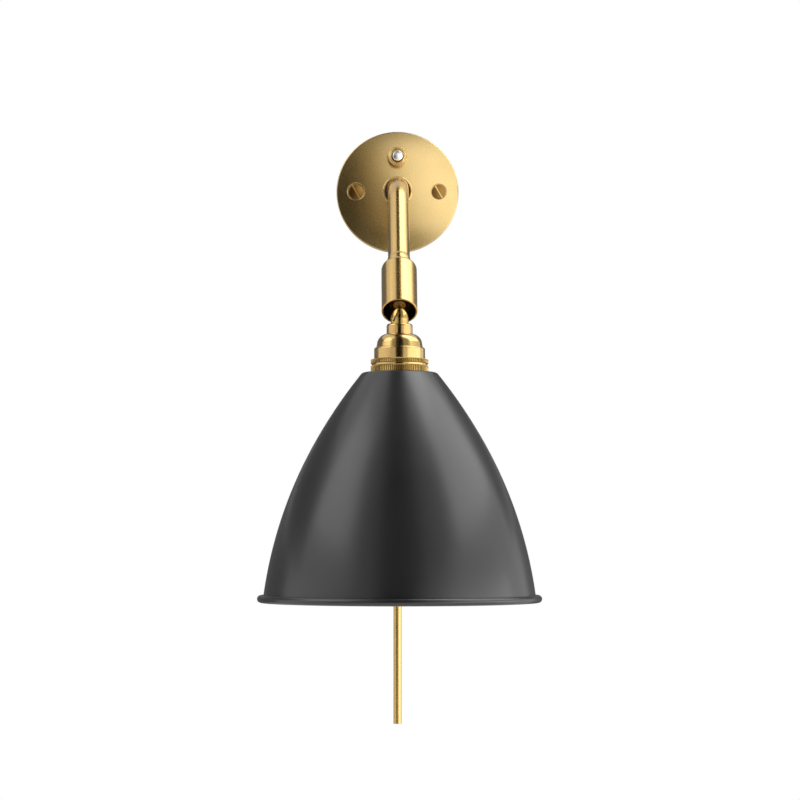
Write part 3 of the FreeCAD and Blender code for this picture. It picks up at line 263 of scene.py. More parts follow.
def turned(name, steps, place, body, slot, paints, nodes=(), round_count=144, fine=6.0,
           ease=0.12, carve=None, rows=None):
    """Turns an outline in millimetres about its own Z axis into a finished piece.

    paints maps a tag of the outline to its material, and "" is the rest. fine is the widest
    step of an arc in degrees, ease rounds the corners in millimetres, and rows gives the longest
    step of a tagged line. carve(radius, height, angle, tag) gives the radius of a knurled or
    threaded point.
    """
    edges = traced(eased(steps, ease), fine, rows or {})
    area = sum(e[0].x * e[1].y - e[1].x * e[0].y for e in edges)
    side = 1 if area > 0 else -1
    materials = list(dict.fromkeys(paints.values()))
    turn = place.to_3x3()
    spin = [(math.cos(TAU * j / round_count), math.sin(TAU * j / round_count))
            for j in range(round_count)]
    points, starts, recess = [], [], []
    for start, _, _, _, tag in edges:
        starts.append(len(points))
        if start.x < AXIS_REACH:
            points.append(place @ Vector((0, 0, start.y * MM)))
            recess.append(0.0)
            continue
        for j, (c, s) in enumerate(spin):
            r = carve(start.x, start.y, TAU * j / round_count, tag) if carve else start.x
            points.append(place @ (Vector((r * c, r * s, start.y)) * MM))
            recess.append(abs(start.x - r))
    faces, normals, slots, places = [], [], [], []
    travelled = 0.0
    widest = max(e[0].x for e in edges) * MM
    for number, (start, end, d0, d1, tag) in enumerate(edges):
        follow = (number + 1) % len(edges)
        low_pole, high_pole = start.x < AXIS_REACH, end.x < AXIS_REACH
        step = (end - start).length * MM
        if low_pole and high_pole:
            travelled += step
            continue
        n0, n1 = Vector((d0.y, -d0.x)) * side, Vector((d1.y, -d1.x)) * side
        paint = materials.index(paints.get(tag, paints[""]))
        for j in range(round_count):
            k = (j + 1) % round_count
            ring = [(starts[number] + (0 if low_pole else j), n0, j, 0),
                    (starts[follow] + (0 if high_pole else j), n1, j, 1),
                    (starts[follow] + (0 if high_pole else k), n1, j + 1, 1),
                    (starts[number] + (0 if low_pole else k), n0, j + 1, 0)]
            if low_pole:
                ring = ring[:3]
            elif high_pole:
                ring = [ring[0], ring[1], ring[3]]
            if side > 0:
                ring.reverse()
            faces.append([corner[0] for corner in ring])
            slots.append(paint)
            for _, normal, spoke, far in ring:
                c, s = spin[spoke % round_count]
                normals.append(turn @ Vector((normal.x * c, normal.x * s, normal.y)))
                places.append((spoke / round_count * TAU * widest, travelled + far * step))
        travelled += step
    mesh = turning_mesh(name, points, faces, places, materials)
    mesh.polygons.foreach_set("material_index", slots)
    if carve:
        # How deep each point lies below its crest, for the painted shade in the bottoms of knurls
        # and threads.
        deepest = max(recess) or 1.0
        shade = mesh.attributes.new("recess", "FLOAT", "POINT")
        shade.data.foreach_set("value", [depth / deepest for depth in recess])
        sharpen(mesh, 28)
    else:
        mesh.normals_split_custom_set(normals)
    return new_piece(name, mesh, body, nodes)


def swept(name, route, outside, inside, body, material, nodes):
    """Draws a round tube along a route of (point, direction) stops in the lamp's middle plane."""
    round_count, count = 96, len(route)
    across = Vector((1, 0, 0))

    def spoke_at(row, j):
        up = across.cross(route[row][1]).normalized()
        angle = TAU * j / round_count
        return across * math.cos(angle) + up * math.sin(angle)

    faces, normals, places = [], [], []
    travelled = [0.0]
    for (p0, _), (p1, _) in zip(route, route[1:]):
        travelled.append(travelled[-1] + (p1 - p0).length)
    points = [route[row][0] + spoke_at(row, j) * radius for radius in (outside, inside)
              for row in range(count) for j in range(round_count)]
    for shell in (0, 1):
        base = shell * count * round_count
        for row in range(count - 1):
            for j in range(round_count):
                k = (j + 1) % round_count
                ring = [(row, j, j), (row, k, j + 1), (row + 1, k, j + 1), (row + 1, j, j)]
                if not shell:
                    ring.reverse()
                faces.append([base + r * round_count + c for r, c, _ in ring])
                for r, c, wide in ring:
                    normals.append(spoke_at(r, c) * (-1 if shell else 1))
                    places.append((wide / round_count * TAU * outside, travelled[r]))
    for row, flip in ((0, 1), (count - 1, -1)):
        heading = route[row][1] * -flip
        for j in range(round_count):
            k = (j + 1) % round_count
            outer, inner = row * round_count, (count + row) * round_count
            ring = [outer + j, inner + j, inner + k, outer + k]
            if flip > 0:
                ring.reverse()
            faces.append(ring)
            normals.extend([heading] * 4)
            places.extend([(0.0, travelled[row])] * 4)
    mesh = turning_mesh(name, points, faces, places, [material])
    mesh.normals_split_custom_set(normals)
    return new_piece(name, mesh, body, nodes)


def cut_away(piece, corners, soften, walls, floor):
    """Cuts a straight-sided slot out of a piece and softens the edges that it leaves.

    The slot's bottom gets the floor's finish, and its sides and edges get that of the walls.
    """
    work = bmesh.new()
    made = [work.verts.new(corner) for corner in corners]
    bmesh.ops.convex_hull(work, input=made)
    mesh = bpy.data.meshes.new(piece.name + "_cutter")
    work.to_mesh(mesh)
    work.free()
    mesh.materials.append(walls)
    mesh.materials.append(floor)
    down = (corners[0] - corners[1]).normalized()
    for face in mesh.polygons:
        face.material_index = int(face.normal.dot(down) > 0.9)
    cutter = bpy.data.objects.new(mesh.name, mesh)
    bpy.context.scene.collection.objects.link(cutter)
    boolean = piece.modifiers.new("slot", "BOOLEAN")
    boolean.operation = "DIFFERENCE"
    boolean.solver = "EXACT"
    boolean.object = cutter
    boolean.material_mode = "TRANSFER"
    bpy.context.view_layer.update()
    depsgraph = bpy.context.evaluated_depsgraph_get()
    result = bpy.data.meshes.new_from_object(piece.evaluated_get(depsgraph))
    if len(result.polygons) <= len(piece.data.polygons) // 2:
        raise RuntimeError("%s lost its shape when its slot was cut" % piece.name)
    piece.modifiers.clear()
    piece.data = result
    bpy.data.objects.remove(cutter)
    sharpen(piece.data, 30)
    bevel = soften_edges(piece, soften, 45)
    bevel.material = piece.data.materials.find(walls.name)


def box_corners(place, centre, spans, turn_deg):
    """Eight corners of a bar in millimetres, turned about its own Z axis."""
    spin = Matrix.Rotation(math.radians(turn_deg), 4, "Z")
    corners = []
    for signs in itertools.product((-1, 1), repeat=3):
        corner = spin @ Vector([sign * span / 2 for sign, span in zip(signs, spans)])
        corners.append(place @ ((corner + Vector(centre)) * MM))
    return corners


def groove_wave(count, depth):
    """A straight knurl: flat-topped teeth with a sharp gap between them.

    Each gap narrows to its bottom over 0.36 of a tooth to either side.
    """
    def carve(radius, height, angle, tag):
        if tag != "knurl":
            return radius
        phase = (angle * count / TAU) % 1.0
        return radius - depth * max(0.0, 1.0 - abs(phase - 0.5) / 0.36)
    return carve


def thread_wave(pitch, depth, rolled=False):
    """A helical thread cut inward from its crests, or a rolled wave that bulges outward.

    Each slope of the cut thread takes 0.385 of the pitch, which leaves flat crests and roots.
    """
    def carve(radius, height, angle, tag):
        if tag != "thread":
            return radius
        phase = (height / pitch - angle / TAU) % 1.0
        if rolled:
            return radius + depth * (0.5 - 0.5 * math.cos(TAU * phase))
        return radius - depth * min(1.0, max(0.0, 1.15 - 2.6 * abs(phase - 0.5)))
    return carve


# ---------------------------------------------------------------- materials

def add(tree, kind, values=None, links=None, **settings):
    """Adds one node, sets its options and inputs, and links other nodes' outputs into it."""
    node = tree.nodes.new("ShaderNode" + kind)
    for name, setting in settings.items():
        setattr(node, name, setting)
    for socket, value in (values or {}).items():
        node.inputs[socket].default_value = value
    for socket, output in (links or {}).items():
        tree.links.new(output, node.inputs[socket])
    return node


def blank(name):
    """A new material with an empty node tree, and that tree."""
    material = bpy.data.materials.new(name)
    material.use_nodes = True
    material.node_tree.nodes.clear()
    return material, material.node_tree


def shaded(tone, factor):
    """A darker or lighter tone of a colour."""
    return tuple(channel * factor for channel in tone[:3]) + (1.0,)


def per_metre(size_mm):
    """How often a pattern of a size in millimetres comes in a metre."""
    return 1000.0 / size_mm


def turned_brass(name, tone, rough, spread, pitch_mm, depth_mm, streak, drift=0.88):
    """Brass turned and drawn to a satin: fine lines run round it and streak the highlights.

    The lines follow the piece's own turning coordinates, in metres, and each is some 40 mm
    long. Real tool marks lie about 0.1 mm apart, too fine for the picture, so they are drawn at
    pitch_mm. Handling leaves clouds some 14 mm wide, and a thin clear lacquer adds a sharper
    highlight on top.
    """
    material, tree = blank(name)
    place = add(tree, "UVMap", uv_map="turning")
    lines_at = add(tree, "Mapping", {"Scale": (per_metre(40.0), per_metre(pitch_mm), 1.0)},
                   {"Vector": place.outputs["UV"]})
    lines = add(tree, "TexNoise", {"Scale": 1.0, "Detail": 3.0, "Roughness": 0.6},
                {"Vector": lines_at.outputs["Vector"]})
    where = add(tree, "TexCoord")
    cloud = add(tree, "TexNoise", {"Scale": per_metre(14.3), "Detail": 3.0},
                {"Vector": where.outputs["Object"]})
    tint = add(tree, "MixRGB", {"Color1": shaded(tone, drift), "Color2": tone},
               {"Fac": cloud.outputs["Fac"]})
    gloss = add(tree, "MapRange", {"From Min": 0.3, "From Max": 0.7,
                                   "To Min": rough - spread, "To Max": rough + spread},
                {"Value": lines.outputs["Fac"]})
    relief = add(tree, "Bump", {"Strength": 0.35, "Distance": depth_mm * MM},
                 {"Height": lines.outputs["Fac"]})
    grain = add(tree, "Tangent", direction_type="UV_MAP", uv_map="turning")
    metal = add(tree, "BsdfPrincipled",
                {"Metallic": 1.0, "Anisotropic": streak, "Anisotropic Rotation": 0.25,
                 "Coat Weight": 1.0, "Coat Roughness": 0.12},
                {"Base Color": tint.outputs["Color"], "Roughness": gloss.outputs["Result"],
                 "Normal": relief.outputs["Normal"], "Tangent": grain.outputs["Tangent"]})
    add(tree, "OutputMaterial", links={"Surface": metal.outputs["BSDF"]})
    return material


def grained_metal(name, tone, rough, spread, grain_mm, depth_mm, stretch=(1.0, 1.0, 1.0),
                  drift=0.87, lacquer=0.0, gap_shade=0.0):
    """Metal left with an even fine grain: it softens reflections and shows small wear clouds.

    The grain's real size is under 0.1 mm, so it is drawn at grain_mm to show at all. The clouds
    are some 11 mm wide. The last argument paints shade into the bottoms of a knurl or a thread.
    """
    material, tree = blank(name)
    where = add(tree, "TexCoord")
    aim = add(tree, "Mapping", {"Scale": stretch}, {"Vector": where.outputs["Object"]})
    grain = add(tree, "TexNoise", {"Scale": per_metre(grain_mm), "Detail": 2.0},
                {"Vector": aim.outputs["Vector"]})
    cloud = add(tree, "TexNoise", {"Scale": per_metre(11.1), "Detail": 3.0},
                {"Vector": where.outputs["Object"]})
    tint = add(tree, "MixRGB", {"Color1": shaded(tone, drift), "Color2": tone},
               {"Fac": cloud.outputs["Fac"]})
    colour_out = tint.outputs["Color"]
    # Painted shade: the deeper a point of a knurl or thread lies, the nearer its colour goes to
    # near-black brass.
    if gap_shade:
        depth = add(tree, "Attribute", attribute_name="recess")
        gap_shade_mask = add(tree, "Math", {1: gap_shade}, {0: depth.outputs["Fac"]}, operation="MULTIPLY")
        mixed = add(tree, "MixRGB", {"Color2": shaded(tone, 0.12)},
                    {"Fac": gap_shade_mask.outputs["Value"], "Color1": colour_out})
        colour_out = mixed.outputs["Color"]
    gloss = add(tree, "MapRange", {"From Min": 0.3, "From Max": 0.7,
                                   "To Min": rough - spread, "To Max": rough + spread},
                {"Value": grain.outputs["Fac"]})
    relief = add(tree, "Bump", {"Strength": 0.4, "Distance": depth_mm * MM},
                 {"Height": grain.outputs["Fac"]})
    metal = add(tree, "BsdfPrincipled", {"Metallic": 1.0, "Coat Weight": lacquer,
                                         "Coat Roughness": 0.2},
                {"Base Color": colour_out, "Roughness": gloss.outputs["Result"],
                 "Normal": relief.outputs["Normal"]})
    add(tree, "OutputMaterial", links={"Surface": metal.outputs["BSDF"]})
    return material


def coated(name, tone, rough, index, coat, peel_mm, depth_mm, drift=0.85):
    """A sprayed, glazed or moulded skin: smooth gloss over a faint orange peel.

    The peel is peel_mm wide, as it really is, and the tone drifts over some 25 mm.
    """
    material, tree = blank(name)
    where = add(tree, "TexCoord")
    peel = add(tree, "TexNoise", {"Scale": per_metre(peel_mm), "Detail": 1.0},
               {"Vector": where.outputs["Object"]})
    cloud = add(tree, "TexNoise", {"Scale": per_metre(25.0), "Detail": 4.0},
                {"Vector": where.outputs["Object"]})
    tint = add(tree, "MixRGB", {"Color1": shaded(tone, drift), "Color2": tone},
               {"Fac": cloud.outputs["Fac"]})
    gloss = add(tree, "MapRange", {"From Min": 0.3, "From Max": 0.7,
                                   "To Min": rough - 0.02, "To Max": rough + 0.03},
                {"Value": cloud.outputs["Fac"]})
    relief = add(tree, "Bump", {"Strength": 0.5, "Distance": depth_mm * MM},
                 {"Height": peel.outputs["Fac"]})
    skin = add(tree, "BsdfPrincipled",
               {"IOR": index, "Coat Weight": coat, "Coat Roughness": rough * 0.6},
               {"Base Color": tint.outputs["Color"], "Roughness": gloss.outputs["Result"],
                "Normal": relief.outputs["Normal"]})
    add(tree, "OutputMaterial", links={"Surface": skin.outputs["BSDF"]})
    return material


def finish_of(name):
    """The lamp's materials, made once and then shared by the pieces."""
    if name in bpy.data.materials:
        return bpy.data.materials[name]
    finishes = bpy.context.scene.lamp_finishes
    tones = {key: tuple(getattr(finishes, key)) for key in finishes.__annotations__}
    # Satin turned brass: soft upright streaks, clear dark and light bands down each tube.
    if name == "brass_turned_satin":
        return turned_brass(name, tones["brass"], rough=0.27, spread=0.006, pitch_mm=0.45,
                            depth_mm=0.0005, streak=0.3)
    # Polished spun brass: sharper bands and deeper contrast on the lampholder.
    if name == "brass_spun_polished":
        return turned_brass(name, tones["brass_polished"], rough=0.21, spread=0.006,
                            pitch_mm=0.6, depth_mm=0.0005, streak=0.2)
    # Machined brass on the stud and its plug: rougher tool marks catch the light.
    if name == "brass_machined_rough":
        return grained_metal(name, shaded(tones["brass"], 0.85), rough=0.4, spread=0.08,
                             grain_mm=0.5, depth_mm=0.03)
    # Brass on the sleeve's inner wall, darkened to a dim brown as painted shade so that its mouth
    # looks deep.
    if name == "brass_oxidised_inside":
        return grained_metal(name, shaded(tones["brass"], 0.42), rough=0.3, spread=0.06,
                             grain_mm=0.6, depth_mm=0.02)
    # Pressed and brushed brass: the wall plate's reflections are wide and soft.
    if name == "brass_pressed_satin":
        return grained_metal(name, tones["brass_plate"], rough=0.28, spread=0.015,
                             grain_mm=0.45, depth_mm=0.0008, lacquer=1.0)
    # Plain spun brass on the small joint pieces: smooth with a fine haze.
    if name == "brass_spun_plain":
        return grained_metal(name, tones["brass"], rough=0.2, spread=0.04, grain_mm=0.4,
                             depth_mm=0.008)
    # Knurled or threaded brass: bright crests over gaps darkened as painted shade.
    if name == "brass_knurled":
        return grained_metal(name, shaded(tones["brass_polished"], 0.95), rough=0.24,
                             spread=0.05, grain_mm=0.3, depth_mm=0.006, gap_shade=0.75)
    # Screw brass: browner and duller than the plate, with painted shade in the bottoms of its
    # thread.
    if name == "brass_screw_dull":
        return grained_metal(name, linear("#98733f"), rough=0.3, spread=0.03, grain_mm=0.3,
                             depth_mm=0.004, gap_shade=0.7)
    # Dark brown brass on the slot's walls as painted shade: a brown line beside its bright bottom.
    if name == "brass_slot_tarnished":
        return grained_metal(name, linear("#5a4326"), rough=0.5, spread=0.05, grain_mm=0.3,
                             depth_mm=0.006)
    # Chrome plate on the button: a cold, soft highlight against the warm brass.
    if name == "chrome_plated":
        return grained_metal(name, tones["chrome"], rough=0.34, spread=0.02, grain_mm=0.8,
                             depth_mm=0.0005, drift=0.98)
    # Zinc plated steel, rolled along the strap: grey and a little cloudy, its grey kept dark as
    # painted shade for the gap round the arm's root.
    if name == "steel_zinc_plated":
        return grained_metal(name, tones["steel"], rough=0.38, spread=0.07, grain_mm=0.4,
                             depth_mm=0.02, stretch=(1.0, 0.15, 0.15), drift=0.85)
    # Steel painted nearly black and cold as painted shade: it makes the gap round the arm's root
    # look deep.
    if name == "steel_blued":
        return grained_metal(name, linear("#22242a"), rough=0.4, spread=0.05, grain_mm=0.4,
                             depth_mm=0.006)
    # Nickel plated shell for the lamp: bright and slightly warm.
    if name == "shell_nickel_plated":
        return grained_metal(name, linear("#cfc8b8"), rough=0.22, spread=0.04, grain_mm=0.5,
                             depth_mm=0.01)
    # Charcoal baked paint: smooth, half matt, with broad soft highlights.
    if name == "paint_charcoal_baked":
        return coated(name, tones["shade_outside"], rough=0.35, index=1.6, coat=0.4,
                      peel_mm=0.8, depth_mm=0.003)
    # White baked enamel inside the bell: bright and even.
    if name == "enamel_white_baked":
        return coated(name, tones["shade_inside"], rough=0.38, index=1.5, coat=0.0,
                      peel_mm=0.8, depth_mm=0.004, drift=0.97)
    # Glazed porcelain: white with a wet gloss.
    if name == "porcelain_glazed":
        return coated(name, tones["porcelain"], rough=0.14, index=1.5, coat=0.6, peel_mm=1.2,
                      depth_mm=0.01, drift=0.95)
    # Moulded phenolic: near black, dull gloss.
    if name == "phenolic_moulded":
        return coated(name, tones["phenolic"], rough=0.4, index=1.6, coat=0.0, peel_mm=0.6,
                      depth_mm=0.01, drift=0.8)
    # Moulded nylon friction ring: milky and soft.
    if name == "nylon_moulded":
        return coated(name, linear("#d9d6cc"), rough=0.5, index=1.53, coat=0.0, peel_mm=0.6,
                      depth_mm=0.01, drift=0.93)
    raise ValueError("no finish is called %s" % name)


def paint_node(node, finish, soften=0.0):
    """Gives a solid of the frame its finish, and softens its edges if asked."""
    item = frame["nodes"][node]
    item.data.materials.clear()
    item.data.materials.append(finish_of(finish))
    if soften:
        soften_edges(item, soften, 50)


def sizes():
    """The lamp's sizes, as the panel shows them."""
    return bpy.context.scene.lamp_sizes


# ---------------------------------------------------------------- operators

class LAMP_OT_wall_plate(bpy.types.Operator):
    """Finish the pressed wall plate"""
    bl_idname = "lamp.wall_plate"
    bl_label = "Wall Plate"

    def execute(self, context):
        paint_node("wall_plate", "brass_pressed_satin")
        return {"FINISHED"}


class LAMP_OT_plate_screws(bpy.types.Operator):
    """Build the two slotted fixing screws with cut threads"""
    bl_idname = "lamp.plate_screws"
    bl_label = "Plate Screws"

    def execute(self, context):
        brass = finish_of("brass_screw_dull")
        for name, across in (("plate_screw_left", -25.4), ("plate_screw_right", 25.4)):
            place = Matrix.Translation((across * MM, 0, 0)) @ WALL
            screw = turned(name + "_slotted", [
                line(0, -14.0),
                line(1.4, -14.0),
                line(2.0, -13.2),
                line(2.0, 0.5, "thread"),
                line(1.6, 0.5),
                line(1.6, 2.2),
                line(4.35, 2.2),
                line(4.35, 3.7),
                arc(0, 4.3, 16.07, 1),
            ], place, "fixture", "brass", {"": brass}, (name,), round_count=64, fine=8.0,
                ease=0.18, carve=thread_wave(0.7, 0.35), rows={"thread": 0.1})
            slot = box_corners(place, centre=(0, 0, 3.9), spans=(11.0, 1.1, 1.2), turn_deg=120)
            cut_away(screw, slot, soften=0.0002, walls=finish_of("brass_slot_tarnished"),
                     floor=finish_of("brass_spun_plain"))
        return {"FINISHED"}


class LAMP_OT_wall_fixings(bpy.types.Operator):
    """Finish the strap, earth screw, lock nut and washer, and cut the root's thread"""
    bl_idname = "lamp.wall_fixings"
    bl_label = "Wall Fixings"

    def execute(self, context):
        paint_node("mounting_strap", "steel_zinc_plated", 0.00012)
        paint_node("earth_screw", "brass_knurled", 0.00008)
        paint_node("arm_root_nut", "steel_blued", 0.0001)
        paint_node("arm_root_washer", "steel_blued", 0.0001)
        turned("arm_root_thread", [
            line(3.5, -8.0),
            line(4.75, -8.0),
            line(4.75, 1.0, "thread"),
            line(5.3, 1.0),
            line(5.3, 12.0),
            line(3.5, 12.0),
        ], WALL, "fixture", "brass", {"": finish_of("brass_knurled")}, ("arm_root_bush",),
            round_count=72, fine=8.0, ease=0.1, carve=thread_wave(1.0, 0.45),
            rows={"thread": 0.125})
        return {"FINISHED"}


class LAMP_OT_switch(bpy.types.Operator):
    """Build the collar nut and the chromed push button, and finish the switch housing"""
    bl_idname = "lamp.switch"
    bl_label = "Switch"

    def execute(self, context):
        turned("switch_collar_turned", [
            line(4.85, 5.168),
            line(6.2, 5.168),
            line(6.2, 5.768),
            line(5.85, 8.768),
            arc(5.25, 8.918, 0.36, 1),
            arc(3.65, 7.968, 5.0, -1),
            line(3.65, 7.068),
            line(4.85, 7.068),
        ], SWITCH, "fixture", "chrome", {"": finish_of("brass_turned_satin")},
            ("switch_collar",), round_count=96, ease=0.1)
        turned("switch_button", [
            line(0, 0.2),
            line(3.9, 0.2),
            line(3.9, 1.4),
            line(3.1, 1.4),
            line(3.1, 10.6),
            arc(2.75, 11.1, 0.55, 1),
            arc(0, 11.668, 7.6, 1),
        ], SWITCH, "button", "chrome", {"": finish_of("chrome_plated")},
            ("switch_plunger",), round_count=80, ease=0.1)
        paint_node("switch_body", "phenolic_moulded", 0.00012)
        return {"FINISHED"}


class LAMP_OT_arm(bpy.types.Operator):
    """Build the bent arm tube, its bead and the joint sleeve"""
    bl_idname = "lamp.arm"
    bl_label = "Arm"

    def execute(self, context):
        brass = finish_of("brass_turned_satin")
        # The sleeve's inner wall gets brass darkened as painted shade.
        inner_shade_brass = finish_of("brass_oxidised_inside")
        bend = sizes().arm_bend_radius
        drop_angle, straight_run = math.radians(52.5), 0.0706
        bend_steps, straight_steps = 28, 8
        start = Vector((0, -0.014, 0))
        route = [(Vector((0, -0.001, 0)), Vector((0, -1, 0))), (start, Vector((0, -1, 0)))]
        for step in range(1, bend_steps + 1):
            angle = drop_angle * step / bend_steps
            heading = Vector((0, -math.cos(angle), -math.sin(angle)))
            route.append((start + Vector((0, -math.sin(angle), math.cos(angle) - 1)) * bend,
                          heading))
        last, heading = route[-1]
        for step in range(1, straight_steps + 1):
            route.append((last + heading * straight_run * step / straight_steps, heading))
        half = sizes().arm_diameter / 2
        swept("arm_tube_bent", route, half, half - 0.001, "fixture", brass,
              ("arm_tube",))
        turned("arm_bead", [
            line(6.4, -45.3),
            arc(6.95, -41.456, 12, 1),
            arc(6.55, -39.1, 4, 1),
            line(6.4, -39.1),
        ], ARM, "fixture", "brass", {"": brass}, ("arm_collar",), round_count=128, fine=3.0)
        side = sizes().sleeve_diameter / 2 / MM
        turned("joint_sleeve_turned", [
            line(6.4, -39.1),
            line(side - 3.7, -39.1),
            arc(side, -35.4, 3.7, 1),
            line(side, -3.0),
            arc(side - 0.4, -2.6, 0.4, 1),
            line(side - 0.9, -2.6),
            line(side - 0.9, -34.6, "inside"),
            line(6.4, -34.6, "inside"),
        ], ARM, "fixture", "brass", {"": brass, "inside": inner_shade_brass}, ("joint_sleeve",),
            round_count=160, fine=5.0, ease=0.15)
        return {"FINISHED"}


class LAMP_OT_ball_joint(bpy.types.Operator):
    """Build the ball stud and finish the socket, plug and friction ring"""
    bl_idname = "lamp.ball_joint"
    bl_label = "Ball Joint"

    def execute(self, context):
        turned("ball_stud_turned", [
            line(0, -30.0),
            line(0, 3.2),
            arc(1.5, -2.8267, 3.2, -1, "ball"),
            line(1.5, -7.1),
            line(3.0, -7.1),
            arc(3.5, -7.6, 0.5, -1),
            line(3.5, -30.0),
        ], ARM, "fixture", "brass",
            {"": finish_of("brass_machined_rough"), "ball": finish_of("brass_knurled")},
            ("ball_stud",), round_count=96, fine=5.0, ease=0.15)
        paint_node("stud_plug", "brass_machined_rough")
        paint_node("knuckle_socket", "brass_spun_plain")
        paint_node("friction_seat", "nylon_moulded")
        turned("nipple_threaded", [
            line(2.2, -16.6),
            line(4.0, -16.6),
            line(4.0, -3.6, "thread"),
            line(2.2, -3.6),
        ], UNDER, "head", "brass", {"": finish_of("brass_knurled")}, ("lampholder_nipple",),
            round_count=60, fine=8.0, ease=0.1, carve=thread_wave(1.0, 0.4),
            rows={"thread": 0.125})
        return {"FINISHED"}


class LAMP_OT_lampholder(bpy.types.Operator):
    """Build the neck ring, the domed cap and the lampholder's threaded body"""
    bl_idname = "lamp.lampholder"
    bl_label = "Lampholder"

    def execute(self, context):
        brass = finish_of("brass_spun_polished")
        turned("neck_ring_turned", [
            line(4.05, -11.0),
            line(7.4, -11.0),
            line(7.4, -6.5),
            arc(6.1, -5.2, 1.3, 1),
            line(4.05, -5.2),
        ], UNDER, "head", "brass", {"": brass}, ("neck_ring",), round_count=128, fine=5.0,
            ease=0.15)
        turned("lampholder_cap_spun", [
            line(4.05, -11.0),
            line(7.6, -11.0),
            arc(12.8, -15.9, 6.4, -1),
            line(13.25, -18.8),
            line(12.15, -18.8),
            line(11.7, -15.9),
            arc(7.6, -12.1, 5.3, 1),
            line(4.05, -12.1),
        ], UNDER, "head", "brass", {"": brass}, ("lampholder_cap",), round_count=160, fine=3.0)
        side = sizes().skirt_diameter / 2 / MM
        turned("lampholder_body", [
            line(12.15, -18.8),
            line(side - 1.0, -18.8),
            arc(side, -19.8, 1.0, -1),
            line(side, -25.5),
            line(13.9, -25.5),
            line(13.9, -45.8),
            line(12.7, -45.8),
            line(12.7, -20.0),
            line(12.15, -20.0),
        ], UNDER, "head", "brass", {"": brass}, ("lampholder_skirt",), round_count=160, fine=5.0)
        turned("lampholder_thread", [
            line(13.5, -45.4),
            line(13.89, -45.4),
            line(13.89, -38.3, "thread"),
            line(13.5, -38.3),
        ], UNDER, "head", "brass", {"": finish_of("brass_knurled")}, round_count=160, fine=5.0,
            ease=0.05, carve=thread_wave(2.0, 0.35), rows={"thread": 0.2})
        return {"FINISHED"}


class LAMP_OT_shade_rings(bpy.types.Operator):
    """Build the knurled rings that clamp the shade"""
    bl_idname = "lamp.shade_rings"
    bl_label = "Shade Rings"

    def execute(self, context):
        side = sizes().ring_diameter / 2 / MM
        teeth = sizes().knurl_count
        knurl = groove_wave(teeth, sizes().knurl_depth / MM)
        brass = finish_of("brass_knurled")
        bright = finish_of("brass_spun_polished")
        ring_steps = {"round_count": 8 * teeth, "fine": 8.0, "ease": 0.0, "carve": knurl,
                      "rows": {"knurl": 1.0}}
        turned("shade_ring_upper_knurled", [
            line(13.95, -28.1),
            line(side - 0.35, -28.1),
            line(side, -27.8, "knurl"),
            line(side, -25.8, "knurl"),
            line(side - 0.35, -25.5, "knurl"),
            line(13.95, -25.5),
        ], UNDER, "head", "brass", {"": brass}, ("shade_ring_upper",), **ring_steps)
        turned("shade_ring_lower_knurled", [
            line(13.95, -33.1),
            line(side - 0.35, -33.1),
            line(side, -32.8, "knurl"),
            line(side, -29.4, "knurl"),
            line(side - 0.35, -29.1, "knurl"),
            line(15.8, -29.1, "band"),
            line(15.8, -28.1, "band"),
            line(13.95, -28.1, "band"),
        ], UNDER, "head", "brass", {"": brass, "band": bright}, ("shade_ring_lower",),
            **ring_steps)
        turned("shade_ring_inner_turned", [
            line(13.95, -38.1),
            line(16.4, -38.1),
            line(17.0, -37.5),
            line(17.0, -34.1),
            line(13.95, -34.1),
        ], UNDER, "head", "brass", {"": bright}, ("shade_ring_inner",), ease=0.15)
        return {"FINISHED"}


class LAMP_OT_shade(bpy.types.Operator):
    """Build the spun bell: charcoal outside, white inside, with its rolled rim"""
    bl_idname = "lamp.shade"
    bl_label = "Shade"

    def execute(self, context):
        rim = sizes().rim_radius / MM
        bead = sizes().bead_radius / MM
        sheet = sizes().shade_sheet / MM
        top, waist, foot = -33.1, -72.6, -160.6
        lean = math.radians(48)
        turned("shade_spun", [
            line(14.05, top),
            line(20.15, top),
            arc(21.95, top - 0.85, 2.3, -1),
            arc(47.9, waist, 281.0, -1),
            arc(rim - bead * math.cos(lean), foot + bead * math.sin(lean), 243.0, -1),
            arc(rim + bead, foot, bead, -1),
            arc(rim, foot - bead, bead, -1),
            arc(rim - bead, foot, bead, -1, "inside"),
            arc(47.9 - 0.87 * sheet, waist - 0.49 * sheet, 243.0 - sheet, 1, "inside"),
            arc(21.95 - 0.78 * sheet, top - 0.85 - 0.63 * sheet, 281.0 - sheet, 1, "inside"),
            arc(20.15, top - sheet, 2.3 - sheet, 1, "inside"),
            line(14.05, top - sheet, "inside"),
        ], UNDER, "head", "shade_paint",
            {"": finish_of("paint_charcoal_baked"), "inside": finish_of("enamel_white_baked")},
            ("shade",), round_count=288, fine=4.0, ease=0.1)
        return {"FINISHED"}


